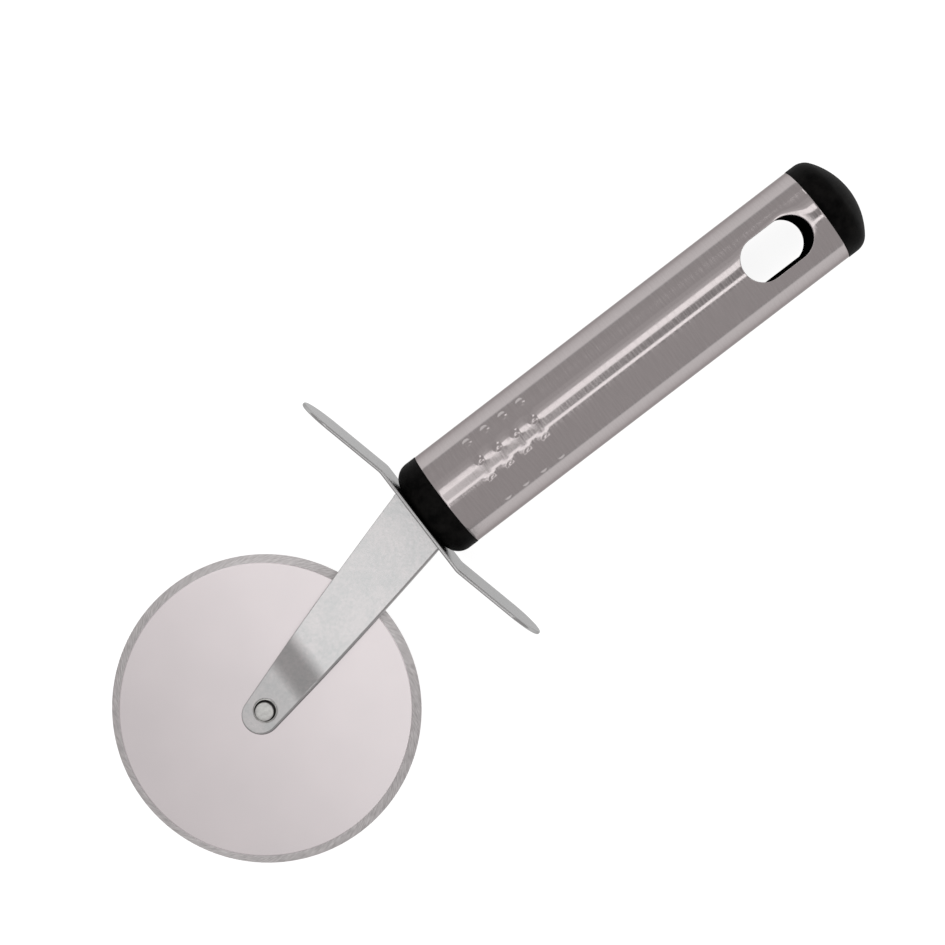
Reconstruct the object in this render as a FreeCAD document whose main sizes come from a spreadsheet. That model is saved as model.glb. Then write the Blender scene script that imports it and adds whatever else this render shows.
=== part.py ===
# Pizza cutter: a ground steel wheel in a bent steel yoke, an S-bent finger guard,
# and a round steel tube handle between a black collar and a black end cap.
#
# Millimetres. The tool lies on a table: +Z is up and along the wheel's axle, +X runs along the
# handle towards its end cap. The origin is under the middle of the whole tool, on the table.
# Every piece is first built in the tool's own frame, whose origin is on the handle's axis in the
# guard's middle plane, and its Placement then lays it on the table.
import FreeCAD, Part
import os
import re
import Sketcher

doc = FreeCAD.newDocument("pizza_cutter")

# Driving dimensions, one row each: alias, value, what it is
SIZES = [
    ("wheel_dia", 65.7, "cutting wheel, outside diameter"),
    ("wheel_thick", 1.0, "cutting wheel, sheet thickness"),
    ("bevel_width", 1.9, "ground bevel, seen from the side"),
    ("edge_land", 0.16, "flat left at the cutting edge"),
    ("axle_reach", 51.8, "guard's front face to the axle, along the yoke"),
    ("fork_cant", 13.5, "yoke's lean from the handle's axis, degrees"),
    ("bush_dia", 4.8, "axle bush, outside diameter"),
    ("run_gap", 0.05, "radial running clearance of the wheel on its bush"),
    ("side_gap", 0.1, "gap between the wheel's face and a spacer washer"),
    ("spacer_dia", 7.6, "spacer washer, outside diameter"),
    ("spacer_thick", 0.8, "spacer washer, thickness"),
    ("rivet_dia", 3.0, "axle rivet, shank diameter"),
    ("rivet_foot_dia", 5.3, "rivet head, diameter where it meets the arm"),
    ("rivet_neck_dia", 4.6, "rivet head, diameter above its foot"),
    ("rivet_foot_high", 0.45, "rivet head, height of its flared foot"),
    ("rivet_high", 1.9, "rivet head, whole height"),
    ("rivet_round", 0.35, "rivet head, rounding of its top edge"),
    ("peen_high", 1.1, "rear rivet head, height"),
    ("fit_gap", 0.05, "radial clearance of a pin, screw or plug in its hole"),
    ("strip_thick", 1.0, "yoke, strip thickness"),
    ("yoke_gap", 7.2, "yoke, width inside at its base"),
    ("arm_root_width", 14.7, "arm, width at its root, square to the arm"),
    ("arm_bow_radius", 1200.0, "arm, radius of its long bowed edges"),
    ("arm_tip_radius", 4.1, "arm, radius of its round tip"),
    ("arm_tip_past", 1.5, "arm, centre of the round tip beyond the axle"),
    ("jog_near", 8.8, "joggle, from the axle to its foot, along the handle"),
    ("jog_run", 5.4, "joggle, from its foot to its crest, along the handle"),
    ("crest_radius", 0.8, "joggle, bend radius at the crest"),
    ("foot_radius", 9.0, "joggle, bend radius at the foot"),
    ("base_bend_radius", 0.3, "yoke, inside bend radius at its base"),
    ("guard_thick", 0.8, "guard, plate thickness"),
    ("guard_width", 20.0, "guard, width across the plate"),
    ("guard_span", 68.7, "guard, tip to tip, square to the handle"),
    ("guard_flat", 26.0, "guard, length of its flat middle"),
    ("guard_bend", 13.1, "guard, bend of each wing, degrees"),
    ("guard_bend_radius", 4.0, "guard, inside bend radius"),
    ("guard_end_share", 0.72, "guard, length of its elliptical ends as a share of half its width"),
    ("rim_proud", 0.05, "collar and end cap, how far they stand out from the tube"),
    ("collar_length", 6.2, "collar, from the guard to the tube"),
    ("collar_round", 3.9, "collar, rounding of its front edge"),
    ("spigot_length", 14.0, "collar, length of its spigot in the tube"),
    ("key_width", 4.4, "collar, square key that stops the guard and yoke turning"),
    ("key_depth_share", 0.7, "share of the yoke's strip that the key goes into"),
    ("tube_dia", 22.0, "handle tube, outside diameter"),
    ("tube_wall", 0.6, "handle tube, wall"),
    ("tube_length", 97.4, "handle tube, length"),
    ("slot_length", 16.3, "hanging slot, whole length"),
    ("slot_width", 9.5, "hanging slot, width"),
    ("slot_inset", 11.8, "hanging slot, its centre from the tube's rear end"),
    ("liner_lip", 0.15, "slot in the plug is this much smaller all round"),
    ("cap_length", 8.3, "end cap, from the tube to its tip"),
    ("cap_side", 2.15, "end cap, straight part of its side"),
    ("cap_round", 3.7, "end cap, rounding between its side and its dome"),
    ("plug_past", 2.4, "end cap, plug beyond the slot"),
    ("plug_chamfer", 0.8, "collar and cap, lead-in of spigot and plug"),
    ("dot_dia", 2.0, "grip dot, diameter at the tube"),
    ("dot_high", 0.4, "grip dot, height"),
    ("dot_pitch", 4.6, "grip dots, pitch along the handle"),
    ("dot_turn", 25.5, "grip dots, step round the handle, degrees"),
    ("dot_inset", 11.0, "grip dots, first row from the tube's front end"),
    ("screw_dia", 3.0, "yoke screw, shank diameter"),
    ("screw_length", 20.0, "yoke screw, length under its head"),
    ("screw_head_dia", 5.5, "yoke screw, head diameter"),
    ("screw_head_high", 2.0, "yoke screw, head height"),
    ("screw_head_round", 0.7, "yoke screw, rounding of its head"),
    ("drive_width", 0.9, "yoke screw, width of its driving slot"),
    ("drive_depth", 1.1, "yoke screw, depth of its driving slot"),
    ("seat_gap", 0.6, "washer under the screw head, clearance to the arms"),
    ("seat_thick", 0.5, "washer under the screw head, thickness"),
    ("nut_flats", 5.5, "nut, across its flats"),
    ("nut_high", 2.4, "nut, height"),
    ("nut_end", 1.2, "screw's end beyond the nut"),
    ("cut_over", 1.0, "how far every cutting shape runs past what it cuts"),
]
DOTS_ALONG = 4
DOTS_AROUND = 4

# Places and sizes that follow from the driving dimensions
PLACES = [
    ("guard_front", "-guard_thick / 2"),
    ("guard_back", "guard_thick / 2"),
    ("tube_front", "guard_back + collar_length"),
    ("tube_rear", "tube_front + tube_length"),
    ("cap_tip", "tube_rear + cap_length"),
    ("axle_x", "guard_front - axle_reach * cos(fork_cant)"),
    ("axle_y", "-axle_reach * sin(fork_cant)"),
    ("peen_ball", "(rivet_foot_dia^2 / 4 + peen_high^2) / (2 * peen_high)"),
    ("bush_length", "wheel_thick + 2 * (side_gap + spacer_thick)"),
    ("tip_inside", "bush_length / 2"),
    ("tip_outside", "tip_inside + strip_thick"),
    ("base_inside", "yoke_gap / 2"),
    ("base_outside", "base_inside + strip_thick"),
    ("jog_miter", "strip_thick * tan(atan((base_inside - tip_inside) / jog_run) / 2)"),
    ("base_front", "guard_front - strip_thick"),
    ("foot_x", "axle_x + jog_near"),
    ("crest_x", "foot_x + jog_run"),
    ("yoke_end", "axle_x - arm_tip_past - arm_tip_radius - cut_over"),
    ("root_half", "arm_root_width / 2"),
    ("root_back", "root_half * tan(fork_cant) + cut_over"),
    ("tip_centre", "axle_reach + arm_tip_past"),
    ("arm_length", "tip_centre + root_back"),
    ("arm_diagonal", "sqrt(root_half^2 + arm_length^2)"),
    ("arm_taper", "acos(arm_tip_radius / arm_diagonal) - atan(arm_length / root_half)"),
    ("tip_turn", "arm_taper + asin(arm_length / 2 / arm_bow_radius)"),
    ("wing_length", "(guard_span - guard_flat) / 2 / cos(guard_bend) + cut_over"),
    ("bend_miter", "guard_thick / 2 * tan(guard_bend / 2)"),
    ("guard_end", "guard_width / 2 * guard_end_share"),
    ("rim_dia", "tube_dia + 2 * rim_proud"),
    ("tube_bore", "tube_dia - 2 * tube_wall"),
    ("plug_dia", "tube_bore - 2 * fit_gap"),
    ("slot_x", "tube_rear - slot_inset"),
    ("plug_front", "slot_x - slot_length / 2 - plug_past"),
    ("spigot_rear", "tube_front + spigot_length"),
    ("seat_dia", "yoke_gap - 2 * seat_gap"),
    ("screw_seat", "base_front - seat_thick"),
    ("screw_end", "screw_seat + screw_length"),
    ("nut_rear", "screw_end - nut_end"),
    ("nut_front", "nut_rear - nut_high"),
    ("key_front", "guard_front - strip_thick * key_depth_share"),
    ("screw_bore", "screw_dia + 2 * fit_gap"),
    ("cap_shoulder", "tube_rear + cap_side"),
    ("dome_high", "cap_length - cap_side"),
    ("dome_edge", "rim_dia / 2 - cap_round"),
    ("dome_radius", "(dome_edge^2 + dome_high^2 - cap_round^2) / (2 * (dome_high - cap_round))"),
    ("dome_centre", "cap_tip - dome_radius"),
    ("dome_share", "dome_radius / (dome_radius - cap_round)"),
    ("dot_ball", "(dot_dia^2 / 4 + dot_high^2) / (2 * dot_high)"),
    ("dot_orbit", "tube_dia / 2 + dot_high - dot_ball"),
    ("rest_x", "-(cap_tip + axle_x - wheel_dia / 2) / 2"),
    ("rest_y", "-(guard_span / 2 + axle_y - wheel_dia / 2) / 2"),
    ("rest_z", "max(rim_dia; guard_width) / 2"),
]

sizes_sheet = doc.addObject("Spreadsheet::Sheet", "Sizes")
places_sheet = doc.addObject("Spreadsheet::Sheet", "Places")
SHEET_OF = {row[0]: "Sizes" for row in SIZES}
SHEET_OF.update({row[0]: "Places" for row in PLACES})


def linked(text):
    """An expression written with bare aliases, with the sheet's name put before each."""
    def with_sheet(match):
        word = match.group()
        return SHEET_OF[word] + "." + word if word in SHEET_OF else word
    return re.sub(r"[a-z]+(?:_[a-z]+)*", with_sheet, text)


def fill_sheets():
    for row, (alias, size, note) in enumerate(SIZES, start=1):
        sizes_sheet.set(f"A{row}", note)
        sizes_sheet.set(f"B{row}", str(size))
        sizes_sheet.setAlias(f"B{row}", alias)
    for row, (alias, formula) in enumerate(PLACES, start=1):
        places_sheet.setAlias(f"B{row}", alias)
        places_sheet.set(f"B{row}", "=" + linked(formula))
    doc.recompute()


def number(text):
    """The present value of an expression."""
    found = sizes_sheet.evalExpression(linked(text))
    return float(getattr(found, "Value", found))


def bind(thing, **expressions):
    for name, text in expressions.items():
        thing.setExpression(name, linked(text))
    return thing


def put(thing, x="0", y="0", z="0", turn=None):
    """Bind the place of an object. A fixed turn about an axis is set first."""
    if turn is not None:
        thing.Placement = FreeCAD.Placement(FreeCAD.Vector(), turn)
    for axis, text in (("x", x), ("y", y), ("z", z)):
        thing.setExpression("Placement.Base." + axis, linked(text))
    return thing


def lay(piece, label, x="0", y="0", turn=None):
    """Name a finished piece and lay it on the table, with the tool."""
    piece.Label = label
    put(piece, f"rest_x + {x}", f"rest_y + {y}", "rest_z", turn)
    pieces.append(piece)
    return piece


ALONG_X = FreeCAD.Rotation(FreeCAD.Vector(0, 1, 0), 90)
UPRIGHT = FreeCAD.Rotation(FreeCAD.Vector(1, 0, 1), 180)
CLOSE = 1e-4
pieces = []


# Solids made from primitives
def rod(name, dia, start, end, along_x=False):
    """A round bar from start to end, along Z or along X."""
    bar = doc.addObject("Part::Cylinder", name)
    bind(bar, Radius=f"({dia}) / 2", Height=f"({end}) - ({start})")
    if along_x:
        return put(bar, x=start, turn=ALONG_X)
    return put(bar, z=start)


def block(name, x, y, z):
    """A box between pairs of planes."""
    brick = doc.addObject("Part::Box", name)
    for side, (low, high) in (("Length", x), ("Width", y), ("Height", z)):
        bind(brick, **{side: f"({high}) - ({low})"})
    return put(brick, x[0], y[0], z[0])


def cut(name, base, *tools):
    for count, tool in enumerate(tools):
        step = doc.addObject("Part::Cut", f"{name}_{count}")
        step.Base = base
        step.Tool = tool
        base = step
    return base


def joined(name, *solids):
    result = doc.addObject("Part::MultiFuse", name)
    result.Shapes = list(solids)
    return result


def shared(name, first, second):
    result = doc.addObject("Part::Common", name)
    result.Base = first
    result.Tool = second
    return result


# Solids made from sketches
def plane_of(body, role):
    return next(item for item in body.Origin.OriginFeatures if item.Role == role)


def outline(body, name, role, corners):
    """A closed sketch through corners. A corner is two expressions, and a third is the radius of an
    arc, bowed outwards on a path that runs counterclockwise, to the next corner."""
    sketch = body.newObject("Sketcher::SketchObject", name)
    sketch.AttachmentSupport = [(plane_of(body, role), "")]
    sketch.MapMode = "FlatFace"
    spots = [FreeCAD.Vector(number(corner[0]), number(corner[1]), 0) for corner in corners]
    for here, corner in enumerate(corners):
        start, end = spots[here], spots[(here + 1) % len(spots)]
        if len(corner) == 2:
            sketch.addGeometry(Part.LineSegment(start, end))
            continue
        chord = end - start
        radius = number(corner[2])
        depth = (radius ** 2 - (chord.Length / 2) ** 2) ** 0.5
        side = FreeCAD.Vector(-chord.y, chord.x, 0).normalize()
        centre = (start + end) / 2 + side * depth
        sketch.addGeometry(Part.Arc(start, centre - side * radius, end))
    for here in range(len(corners)):
        after = (here + 1) % len(corners)
        sketch.addConstraint(Sketcher.Constraint("Coincident", here, 2, after, 1))
    for here, corner in enumerate(corners):
        for kind, spot, text in zip(("DistanceX", "DistanceY"), spots[here], corner):
            held = sketch.addConstraint(Sketcher.Constraint(kind, -1, 1, here, 1, spot))
            sketch.setExpression(f"Constraints[{held}]", linked(text))
        if len(corner) == 3:
            held = sketch.addConstraint(Sketcher.Constraint("Radius", here, number(corner[2])))
            sketch.setExpression(f"Constraints[{held}]", linked(corner[2]))
    return sketch


def slab(name, role, corners, thick):
    """A body: an outline padded the same way to both sides of its plane."""
    body = doc.addObject("PartDesign::Body", name)
    pad = body.newObject("PartDesign::Pad", name + "_pad")
    pad.Profile = outline(body, name + "_outline", role, corners)
    pad.SideType = "Symmetric"
    bind(pad, Length=thick)
    body.Tip = pad
    doc.recompute()
    return body


def turned(name, profile):
    """A body: a profile of radius and height, turned about Z."""
    body = doc.addObject("PartDesign::Body", name)
    spin = body.newObject("PartDesign::Revolution", name + "_turn")
    sketch = outline(body, name + "_profile", "XZ_Plane", profile)
    spin.Profile = sketch
    spin.ReferenceAxis = (sketch, ["V_Axis"])
    body.Tip = spin
    doc.recompute()
    return body


def round_bends(body, bends):
    """Round the bends of a padded strip. A bend is a name, a radius and the corners it is at."""
    for name, radius, corners in bends:
        last = body.Tip
        spots = [(number(first), number(second)) for first, second in corners]
        edges = enumerate(last.Shape.Edges, start=1)
        names = [f"Edge{count}" for count, edge in edges if bend_edge(edge, spots)]
        fillet = body.newObject("PartDesign::Fillet", f"{body.Name}_{name}")
        fillet.Base = (last, names)
        bind(fillet, Radius=radius)
        body.Tip = fillet
        doc.recompute()


def bend_edge(edge, spots):
    """Whether an edge stands on one of the corners, square to the outline's plane."""
    ends = [vertex.Point for vertex in edge.Vertexes]
    if len(ends) != 2 or (ends[1] - ends[0]).Length < CLOSE:
        return False
    run = (ends[1] - ends[0]).normalize()
    if abs(run.z) > 1 - CLOSE:
        place = (ends[0].x, ends[0].y)
    elif abs(run.y) > 1 - CLOSE:
        place = (ends[0].x, ends[0].z)
    else:
        return False
    return any(abs(place[0] - x) < CLOSE and abs(place[1] - y) < CLOSE for x, y in spots)


# The cutting wheel: a disc with a ground bevel on both sides, bored to run on its bush
def cutting_wheel():
    bore = "bush_dia / 2 + run_gap"
    flat = "wheel_dia / 2 - bevel_width"
    wheel = turned("wheel", [
        (bore, "-wheel_thick / 2"), (flat, "-wheel_thick / 2"),
        ("wheel_dia / 2", "-edge_land / 2"), ("wheel_dia / 2", "edge_land / 2"),
        (flat, "wheel_thick / 2"), (bore, "wheel_thick / 2"),
    ])
    lay(wheel, "cutting_wheel", "axle_x", "axle_y")


# What the wheel turns on: a bush between the arms, spacers on it, and the rivet through it all
def ring(name, bore, dia, start, end):
    return turned(name, [
        (f"({bore}) / 2", start), (f"({dia}) / 2", start),
        (f"({dia}) / 2", end), (f"({bore}) / 2", end),
    ])


def axle():
    rivet_hole = "rivet_dia + 2 * fit_gap"
    bush = ring("bush", rivet_hole, "bush_dia", "-bush_length / 2", "bush_length / 2")
    lay(bush, "axle_bush", "axle_x", "axle_y")

    spacer_hole = "bush_dia + 2 * fit_gap"
    inner, outer = "wheel_thick / 2 + side_gap", "tip_inside"
    front = ring("front_spacer", spacer_hole, "spacer_dia", inner, outer)
    lay(front, "front_washer", "axle_x", "axle_y")
    rear = ring("rear_spacer", spacer_hole, "spacer_dia", f"-({outer})", f"-({inner})")
    lay(rear, "rear_washer", "axle_x", "axle_y")

    top, peen = "tip_outside + rivet_high", "-(tip_outside + peen_high)"
    rivet = turned("rivet", [
        ("0", peen, "peen_ball"), ("rivet_foot_dia / 2", "-tip_outside"),
        ("rivet_dia / 2", "-tip_outside"), ("rivet_dia / 2", "tip_outside"),
        ("rivet_foot_dia / 2", "tip_outside"),
        ("rivet_neck_dia / 2", "tip_outside + rivet_foot_high"),
        ("rivet_neck_dia / 2", f"{top} - rivet_round", "rivet_round"),
        ("rivet_neck_dia / 2 - rivet_round", top), ("0", top),
    ])
    lay(rivet, "axle_rivet", "axle_x", "axle_y")


# The yoke: a strip bent to a U and joggled near its tips, cut to two canted, tapered arms
def yoke_strip():
    strip = slab("strip", "XZ_Plane", [
        ("yoke_end", "tip_outside"), ("yoke_end", "tip_inside"),
        ("foot_x + jog_miter", "tip_inside"), ("crest_x + jog_miter", "base_inside"),
        ("base_front", "base_inside"), ("base_front", "-base_inside"),
        ("crest_x + jog_miter", "-base_inside"), ("foot_x + jog_miter", "-tip_inside"),
        ("yoke_end", "-tip_inside"), ("yoke_end", "-tip_outside"),
        ("foot_x", "-tip_outside"), ("crest_x", "-base_outside"),
        ("guard_front", "-base_outside"), ("guard_front", "base_outside"),
        ("crest_x", "base_outside"), ("foot_x", "tip_outside"),
    ], "2 * (arm_root_width - axle_y)")

    def both(x, z):
        return [(x, z), (x, f"-({z})")]
    round_bends(strip, [
        ("base_in", "base_bend_radius", both("base_front", "base_inside")),
        ("base_out", "base_bend_radius + strip_thick", both("guard_front", "base_outside")),
        ("crest_in", "crest_radius", both("crest_x + jog_miter", "base_inside")),
        ("crest_out", "crest_radius + strip_thick", both("crest_x", "base_outside")),
        ("foot_in", "foot_radius + strip_thick", both("foot_x + jog_miter", "tip_inside")),
        ("foot_out", "foot_radius", both("foot_x", "tip_outside")),
    ])
    return strip


def yoke_plan():
    """The arms seen from above, in a frame that runs from the guard to the tip: along, then across."""
    end, side = "tip_centre + arm_tip_radius * sin(tip_turn)", "arm_tip_radius * cos(tip_turn)"
    low, high = "-(base_outside + cut_over)", "(base_outside + cut_over)"
    blank = slab("arm_blank", "XY_Plane", [
        ("-root_back", "-root_half", "arm_bow_radius"), (end, f"-({side})"),
        (end, side, "arm_bow_radius"), ("-root_back", "root_half"),
    ], f"2 * {high}")
    tip = put(rod("arm_tip", "2 * arm_tip_radius", low, high), "tip_centre", z=low)
    plan = joined("arm_plan", blank, tip)
    put(plan, "guard_front", turn=FreeCAD.Rotation(FreeCAD.Vector(0, 0, 1), 180))
    plan.setExpression("Placement.Rotation.Angle", linked("180 + fork_cant"))
    return plan


def yoke():
    bent = shared("yoke_bent", yoke_strip(), yoke_plan())
    low, high = "-(base_outside + cut_over)", "(base_outside + cut_over)"
    rivet_hole = rod("yoke_rivet_hole", "rivet_dia + 2 * fit_gap", low, high)
    put(rivet_hole, "axle_x", "axle_y", low)
    key_hole = key("yoke_key_hole", "base_front - cut_over", "fit_gap")
    lay(cut("yoke", bent, rivet_hole, key_hole), "yoke")


def key(name, front, gap):
    """The collar's square key, or with a gap the hole for it."""
    half = f"(key_width / 2 + {gap})"
    return block(name, (front, "guard_back + cut_over"), (f"-{half}", half), (f"-{half}", half))


# The guard: a plate with elliptical ends, its wings bent opposite ways
def guard_strip():
    out_x = "wing_length * sin(guard_bend)"
    out_y = "(guard_flat / 2 + wing_length * cos(guard_bend))"
    half_x, half_y = "guard_thick / 2 * cos(guard_bend)", "guard_thick / 2 * sin(guard_bend)"
    inner, outer = "(guard_flat / 2 - bend_miter)", "(guard_flat / 2 + bend_miter)"
    strip = slab("guard_strip", "XY_Plane", [
        (f"-{out_x} - {half_x}", f"{out_y} - {half_y}"), ("guard_front", inner),
        ("guard_front", f"-{outer}"), (f"{out_x} - {half_x}", f"-{out_y} - {half_y}"),
        (f"{out_x} + {half_x}", f"-{out_y} + {half_y}"), ("guard_back", f"-{inner}"),
        ("guard_back", outer), (f"-{out_x} + {half_x}", f"{out_y} + {half_y}"),
    ], "guard_width + 2 * cut_over")
    hollow = [("guard_front", inner), ("guard_back", f"-{inner}")]
    crown = [("guard_front", f"-{outer}"), ("guard_back", outer)]
    round_bends(strip, [
        ("bend_in", "guard_bend_radius", hollow),
        ("bend_out", "guard_bend_radius + guard_thick", crown),
    ])
    return strip


def guard_plan():
    """The plate's outline seen along the handle."""
    reach = "(wing_length + guard_thick)"
    straight = "(guard_span / 2 - guard_end)"
    solids = [block("guard_middle", (f"-{reach}", reach), (f"-{straight}", straight),
                    ("-guard_width / 2", "guard_width / 2"))]
    for name, side in (("left", straight), ("right", f"-{straight}")):
        end = doc.addObject("Part::Ellipse", f"guard_{name}_end")
        bind(end, MajorRadius="guard_width / 2", MinorRadius="guard_end")
        put(end, y=side, turn=UPRIGHT)
        solid = doc.addObject("Part::Extrusion", f"guard_{name}_round")
        solid.Base = end
        solid.Dir = FreeCAD.Vector(1, 0, 0)
        solid.DirMode = "Custom"
        solid.Symmetric = True
        solid.Solid = True
        bind(solid, LengthFwd=f"2 * {reach}")
        solids.append(solid)
    return joined("guard_plan", *solids)


def guard():
    plate = shared("guard_plate", guard_strip(), guard_plan())
    key_hole = key("guard_key_hole", "guard_front - cut_over", "fit_gap")
    lay(cut("guard", plate, key_hole), "guard")


# The screw that draws yoke, guard and collar together, with its washer and its nut
def hexagon(name, flats, start, end):
    prism = doc.addObject("Part::Prism", name)
    prism.Polygon = 6
    bind(prism, Circumradius=f"({flats}) / sqrt(3)", Height=f"({end}) - ({start})")
    return put(prism, x=start, turn=ALONG_X)


def fastening():
    front = "screw_seat - screw_head_high"
    screw = put(turned("screw", [
        ("0", front), ("screw_head_dia / 2 - screw_head_round", front, "screw_head_round"),
        ("screw_head_dia / 2", f"{front} + screw_head_round"), ("screw_head_dia / 2", "screw_seat"),
        ("screw_dia / 2", "screw_seat"), ("screw_dia / 2", "screw_end"), ("0", "screw_end"),
    ]), turn=ALONG_X)
    drive = block("screw_drive", (f"{front} - cut_over", f"{front} + drive_depth"),
                  ("-screw_head_dia", "screw_head_dia"), ("-drive_width / 2", "drive_width / 2"))
    lay(cut("yoke_screw", screw, drive), "yoke_screw")

    seat = ring("seat", "screw_bore", "seat_dia", "screw_seat", "base_front")
    lay(seat, "screw_washer", turn=ALONG_X)

    blank = hexagon("nut_blank", "nut_flats", "nut_front", "nut_rear")
    hole = ("nut_front - cut_over", "nut_rear + cut_over")
    lay(cut("nut", blank, rod("nut_thread", "screw_bore", *hole, along_x=True)), "screw_nut")


# The collar: a rounded rim before the tube, a spigot in it, a square key and a pocket for the nut
def collar():
    body = put(turned("collar_body", [
        ("0", "guard_back"), ("rim_dia / 2 - collar_round", "guard_back", "collar_round"),
        ("rim_dia / 2", "guard_back + collar_round"), ("rim_dia / 2", "tube_front"),
        ("plug_dia / 2", "tube_front"), ("plug_dia / 2", "spigot_rear - plug_chamfer"),
        ("plug_dia / 2 - plug_chamfer", "spigot_rear"), ("0", "spigot_rear"),
    ]), turn=ALONG_X)
    keyed = joined("collar_keyed", body, key("collar_key", "key_front", "0"))
    rear = "spigot_rear + cut_over"
    bore = rod("collar_bore", "screw_bore", "key_front - cut_over", rear, along_x=True)
    pocket = hexagon("collar_pocket", "nut_flats + 2 * fit_gap", "nut_front", rear)
    lay(cut("collar", keyed, bore, pocket), "collar")


# The handle: a tube with a hanging slot through both walls and pressed-out grip dots
def slot(name, gap):
    """The slot's round-ended prism, smaller by the gap all round."""
    half = f"(slot_width / 2 - {gap})"
    run = "((slot_length - slot_width) / 2)"
    low, high = "-(rim_dia / 2 + cut_over)", "(rim_dia / 2 + cut_over)"
    front, rear = f"slot_x - {run}", f"slot_x + {run}"
    solids = [block(name + "_middle", (front, rear), (f"-{half}", half), (low, high))]
    for end, place in (("front", front), ("rear", rear)):
        bar = rod(f"{name}_{end}", f"2 * {half}", low, high)
        solids.append(put(bar, place, z=low))
    return joined(name, *solids)


def dots(name, radius):
    """Balls on a grid round the upper side of the tube."""
    balls = []
    for row in range(DOTS_AROUND):
        angle = f"({row - (DOTS_AROUND - 1) / 2} * dot_turn)"
        for place in range(DOTS_ALONG):
            ball = bind(doc.addObject("Part::Sphere", f"{name}_{row}_{place}"), Radius=radius)
            put(ball, f"tube_front + dot_inset + {place} * dot_pitch",
                f"-dot_orbit * sin({angle})", f"dot_orbit * cos({angle})")
            balls.append(ball)
    return balls


def handle_tube():
    wall = rod("tube_outside", "tube_dia", "tube_front", "tube_rear", along_x=True)
    outside = joined("tube_dotted", wall, *dots("dot", "dot_ball"))
    ends = ("tube_front - cut_over", "tube_rear + cut_over")
    bore = rod("tube_bore_rod", "tube_bore", *ends, along_x=True)
    inside = joined("tube_inside", bore, *dots("dimple", "dot_ball - tube_wall"))
    lay(cut("tube", outside, inside, slot("tube_slot", "0")), "handle_tube")


# The end cap: a dome with a rounded rim, and a plug that lines the hanging slot
def end_cap():
    meet = "dome_centre + (cap_shoulder - dome_centre) * dome_share"
    body = put(turned("cap_body", [
        ("0", "plug_front"), ("plug_dia / 2 - plug_chamfer", "plug_front"),
        ("plug_dia / 2", "plug_front + plug_chamfer"), ("plug_dia / 2", "tube_rear"),
        ("rim_dia / 2", "tube_rear"), ("rim_dia / 2", "cap_shoulder", "cap_round"),
        ("dome_edge * dome_share", meet, "dome_radius"), ("0", "cap_tip"),
    ]), turn=ALONG_X)
    lay(cut("cap", body, slot("cap_slot", "liner_lip")), "end_cap")


# Every object has to have worked before anything is written
def check_and_write():
    doc.recompute()
    for thing in doc.Objects:
        if "Invalid" in thing.State or "Error" in thing.State:
            raise RuntimeError(f"{thing.Name} failed: {thing.State}")
    os.makedirs("parts", exist_ok=True)
    for piece in pieces:
        shape = piece.Shape
        if shape.isNull() or not shape.isValid() or len(shape.Solids) != 1:
            raise RuntimeError(f"{piece.Label} is not one sound solid")
    for piece in pieces:
        piece.Shape.exportStep(f"parts/{piece.Label}.step")
        print(f"{piece.Label}: {piece.Shape.Volume:.1f} cubic mm, {len(piece.Shape.Faces)} faces")


fill_sheets()
cutting_wheel()
axle()
yoke()
guard()
fastening()
collar()
handle_tube()
end_cap()
check_and_write()
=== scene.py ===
# %% [markdown]
# # A pizza cutter, dressed around its CAD frame
# The tool lies flat on a white table: a ground steel wheel turns in a bent steel yoke, an S-bent
# guard keeps the fingers off it, and a brushed tube with black ends is the handle. The CAD model
# gives the pieces, their sizes and their places. This lesson builds the surfaces that the eye sees: the
# rounded edges of cut sheet metal, the pressed dots, the uneven grinding of the wheel, and the finishes.

# %% Load the frame
import bmesh
import bpy
import numpy as np
from math import acos, asin, atan, cos, degrees, hypot, pi, radians, sin, sqrt, tan
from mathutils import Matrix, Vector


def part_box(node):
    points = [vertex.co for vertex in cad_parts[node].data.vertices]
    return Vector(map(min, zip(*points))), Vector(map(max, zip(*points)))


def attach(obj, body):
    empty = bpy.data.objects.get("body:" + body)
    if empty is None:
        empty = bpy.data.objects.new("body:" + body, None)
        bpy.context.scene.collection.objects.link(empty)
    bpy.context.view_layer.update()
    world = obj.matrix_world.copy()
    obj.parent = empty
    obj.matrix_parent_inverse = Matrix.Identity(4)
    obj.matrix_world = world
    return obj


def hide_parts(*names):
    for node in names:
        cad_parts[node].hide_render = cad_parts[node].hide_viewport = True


MM = 0.001
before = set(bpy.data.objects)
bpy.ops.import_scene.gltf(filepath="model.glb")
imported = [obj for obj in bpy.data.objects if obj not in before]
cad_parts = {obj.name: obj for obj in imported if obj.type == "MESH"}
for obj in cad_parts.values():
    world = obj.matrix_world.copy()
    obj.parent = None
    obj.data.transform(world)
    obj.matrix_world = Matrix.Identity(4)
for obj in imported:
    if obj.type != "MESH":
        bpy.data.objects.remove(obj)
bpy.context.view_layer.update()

# %% [markdown]
# ## One frame for all the pieces
# On the drawing board the tool's zero is on the handle's axis, in the middle plane of the guard, with
# the handle along +X, and sizes are in millimetres. Blender's table frame is in metres. One function
# moves points from the first to the second, so each piece can be drawn with the numbers of the drawing.

# %% The tool's own frame
TUBE_RADIUS = 11.0
tube_low, tube_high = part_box("handle_tube")
guard_low, guard_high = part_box("guard")
ORIGIN = np.array([
    (guard_low.x + guard_high.x) / 2,
    (tube_low.y + tube_high.y) / 2,
    tube_low.z + TUBE_RADIUS * MM,
])


def on_table(points):
    """Millimetres in the tool's frame to metres on the table."""
    return np.asarray(points, float) * MM + ORIGIN


def tool_box(node):
    """The lowest and highest corner of a CAD node, in millimetres in the tool's frame."""
    return [(np.array(corner) - ORIGIN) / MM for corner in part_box(node)]


print("tool's zero on the table, in mm:", np.round(ORIGIN / MM, 3))

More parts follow.
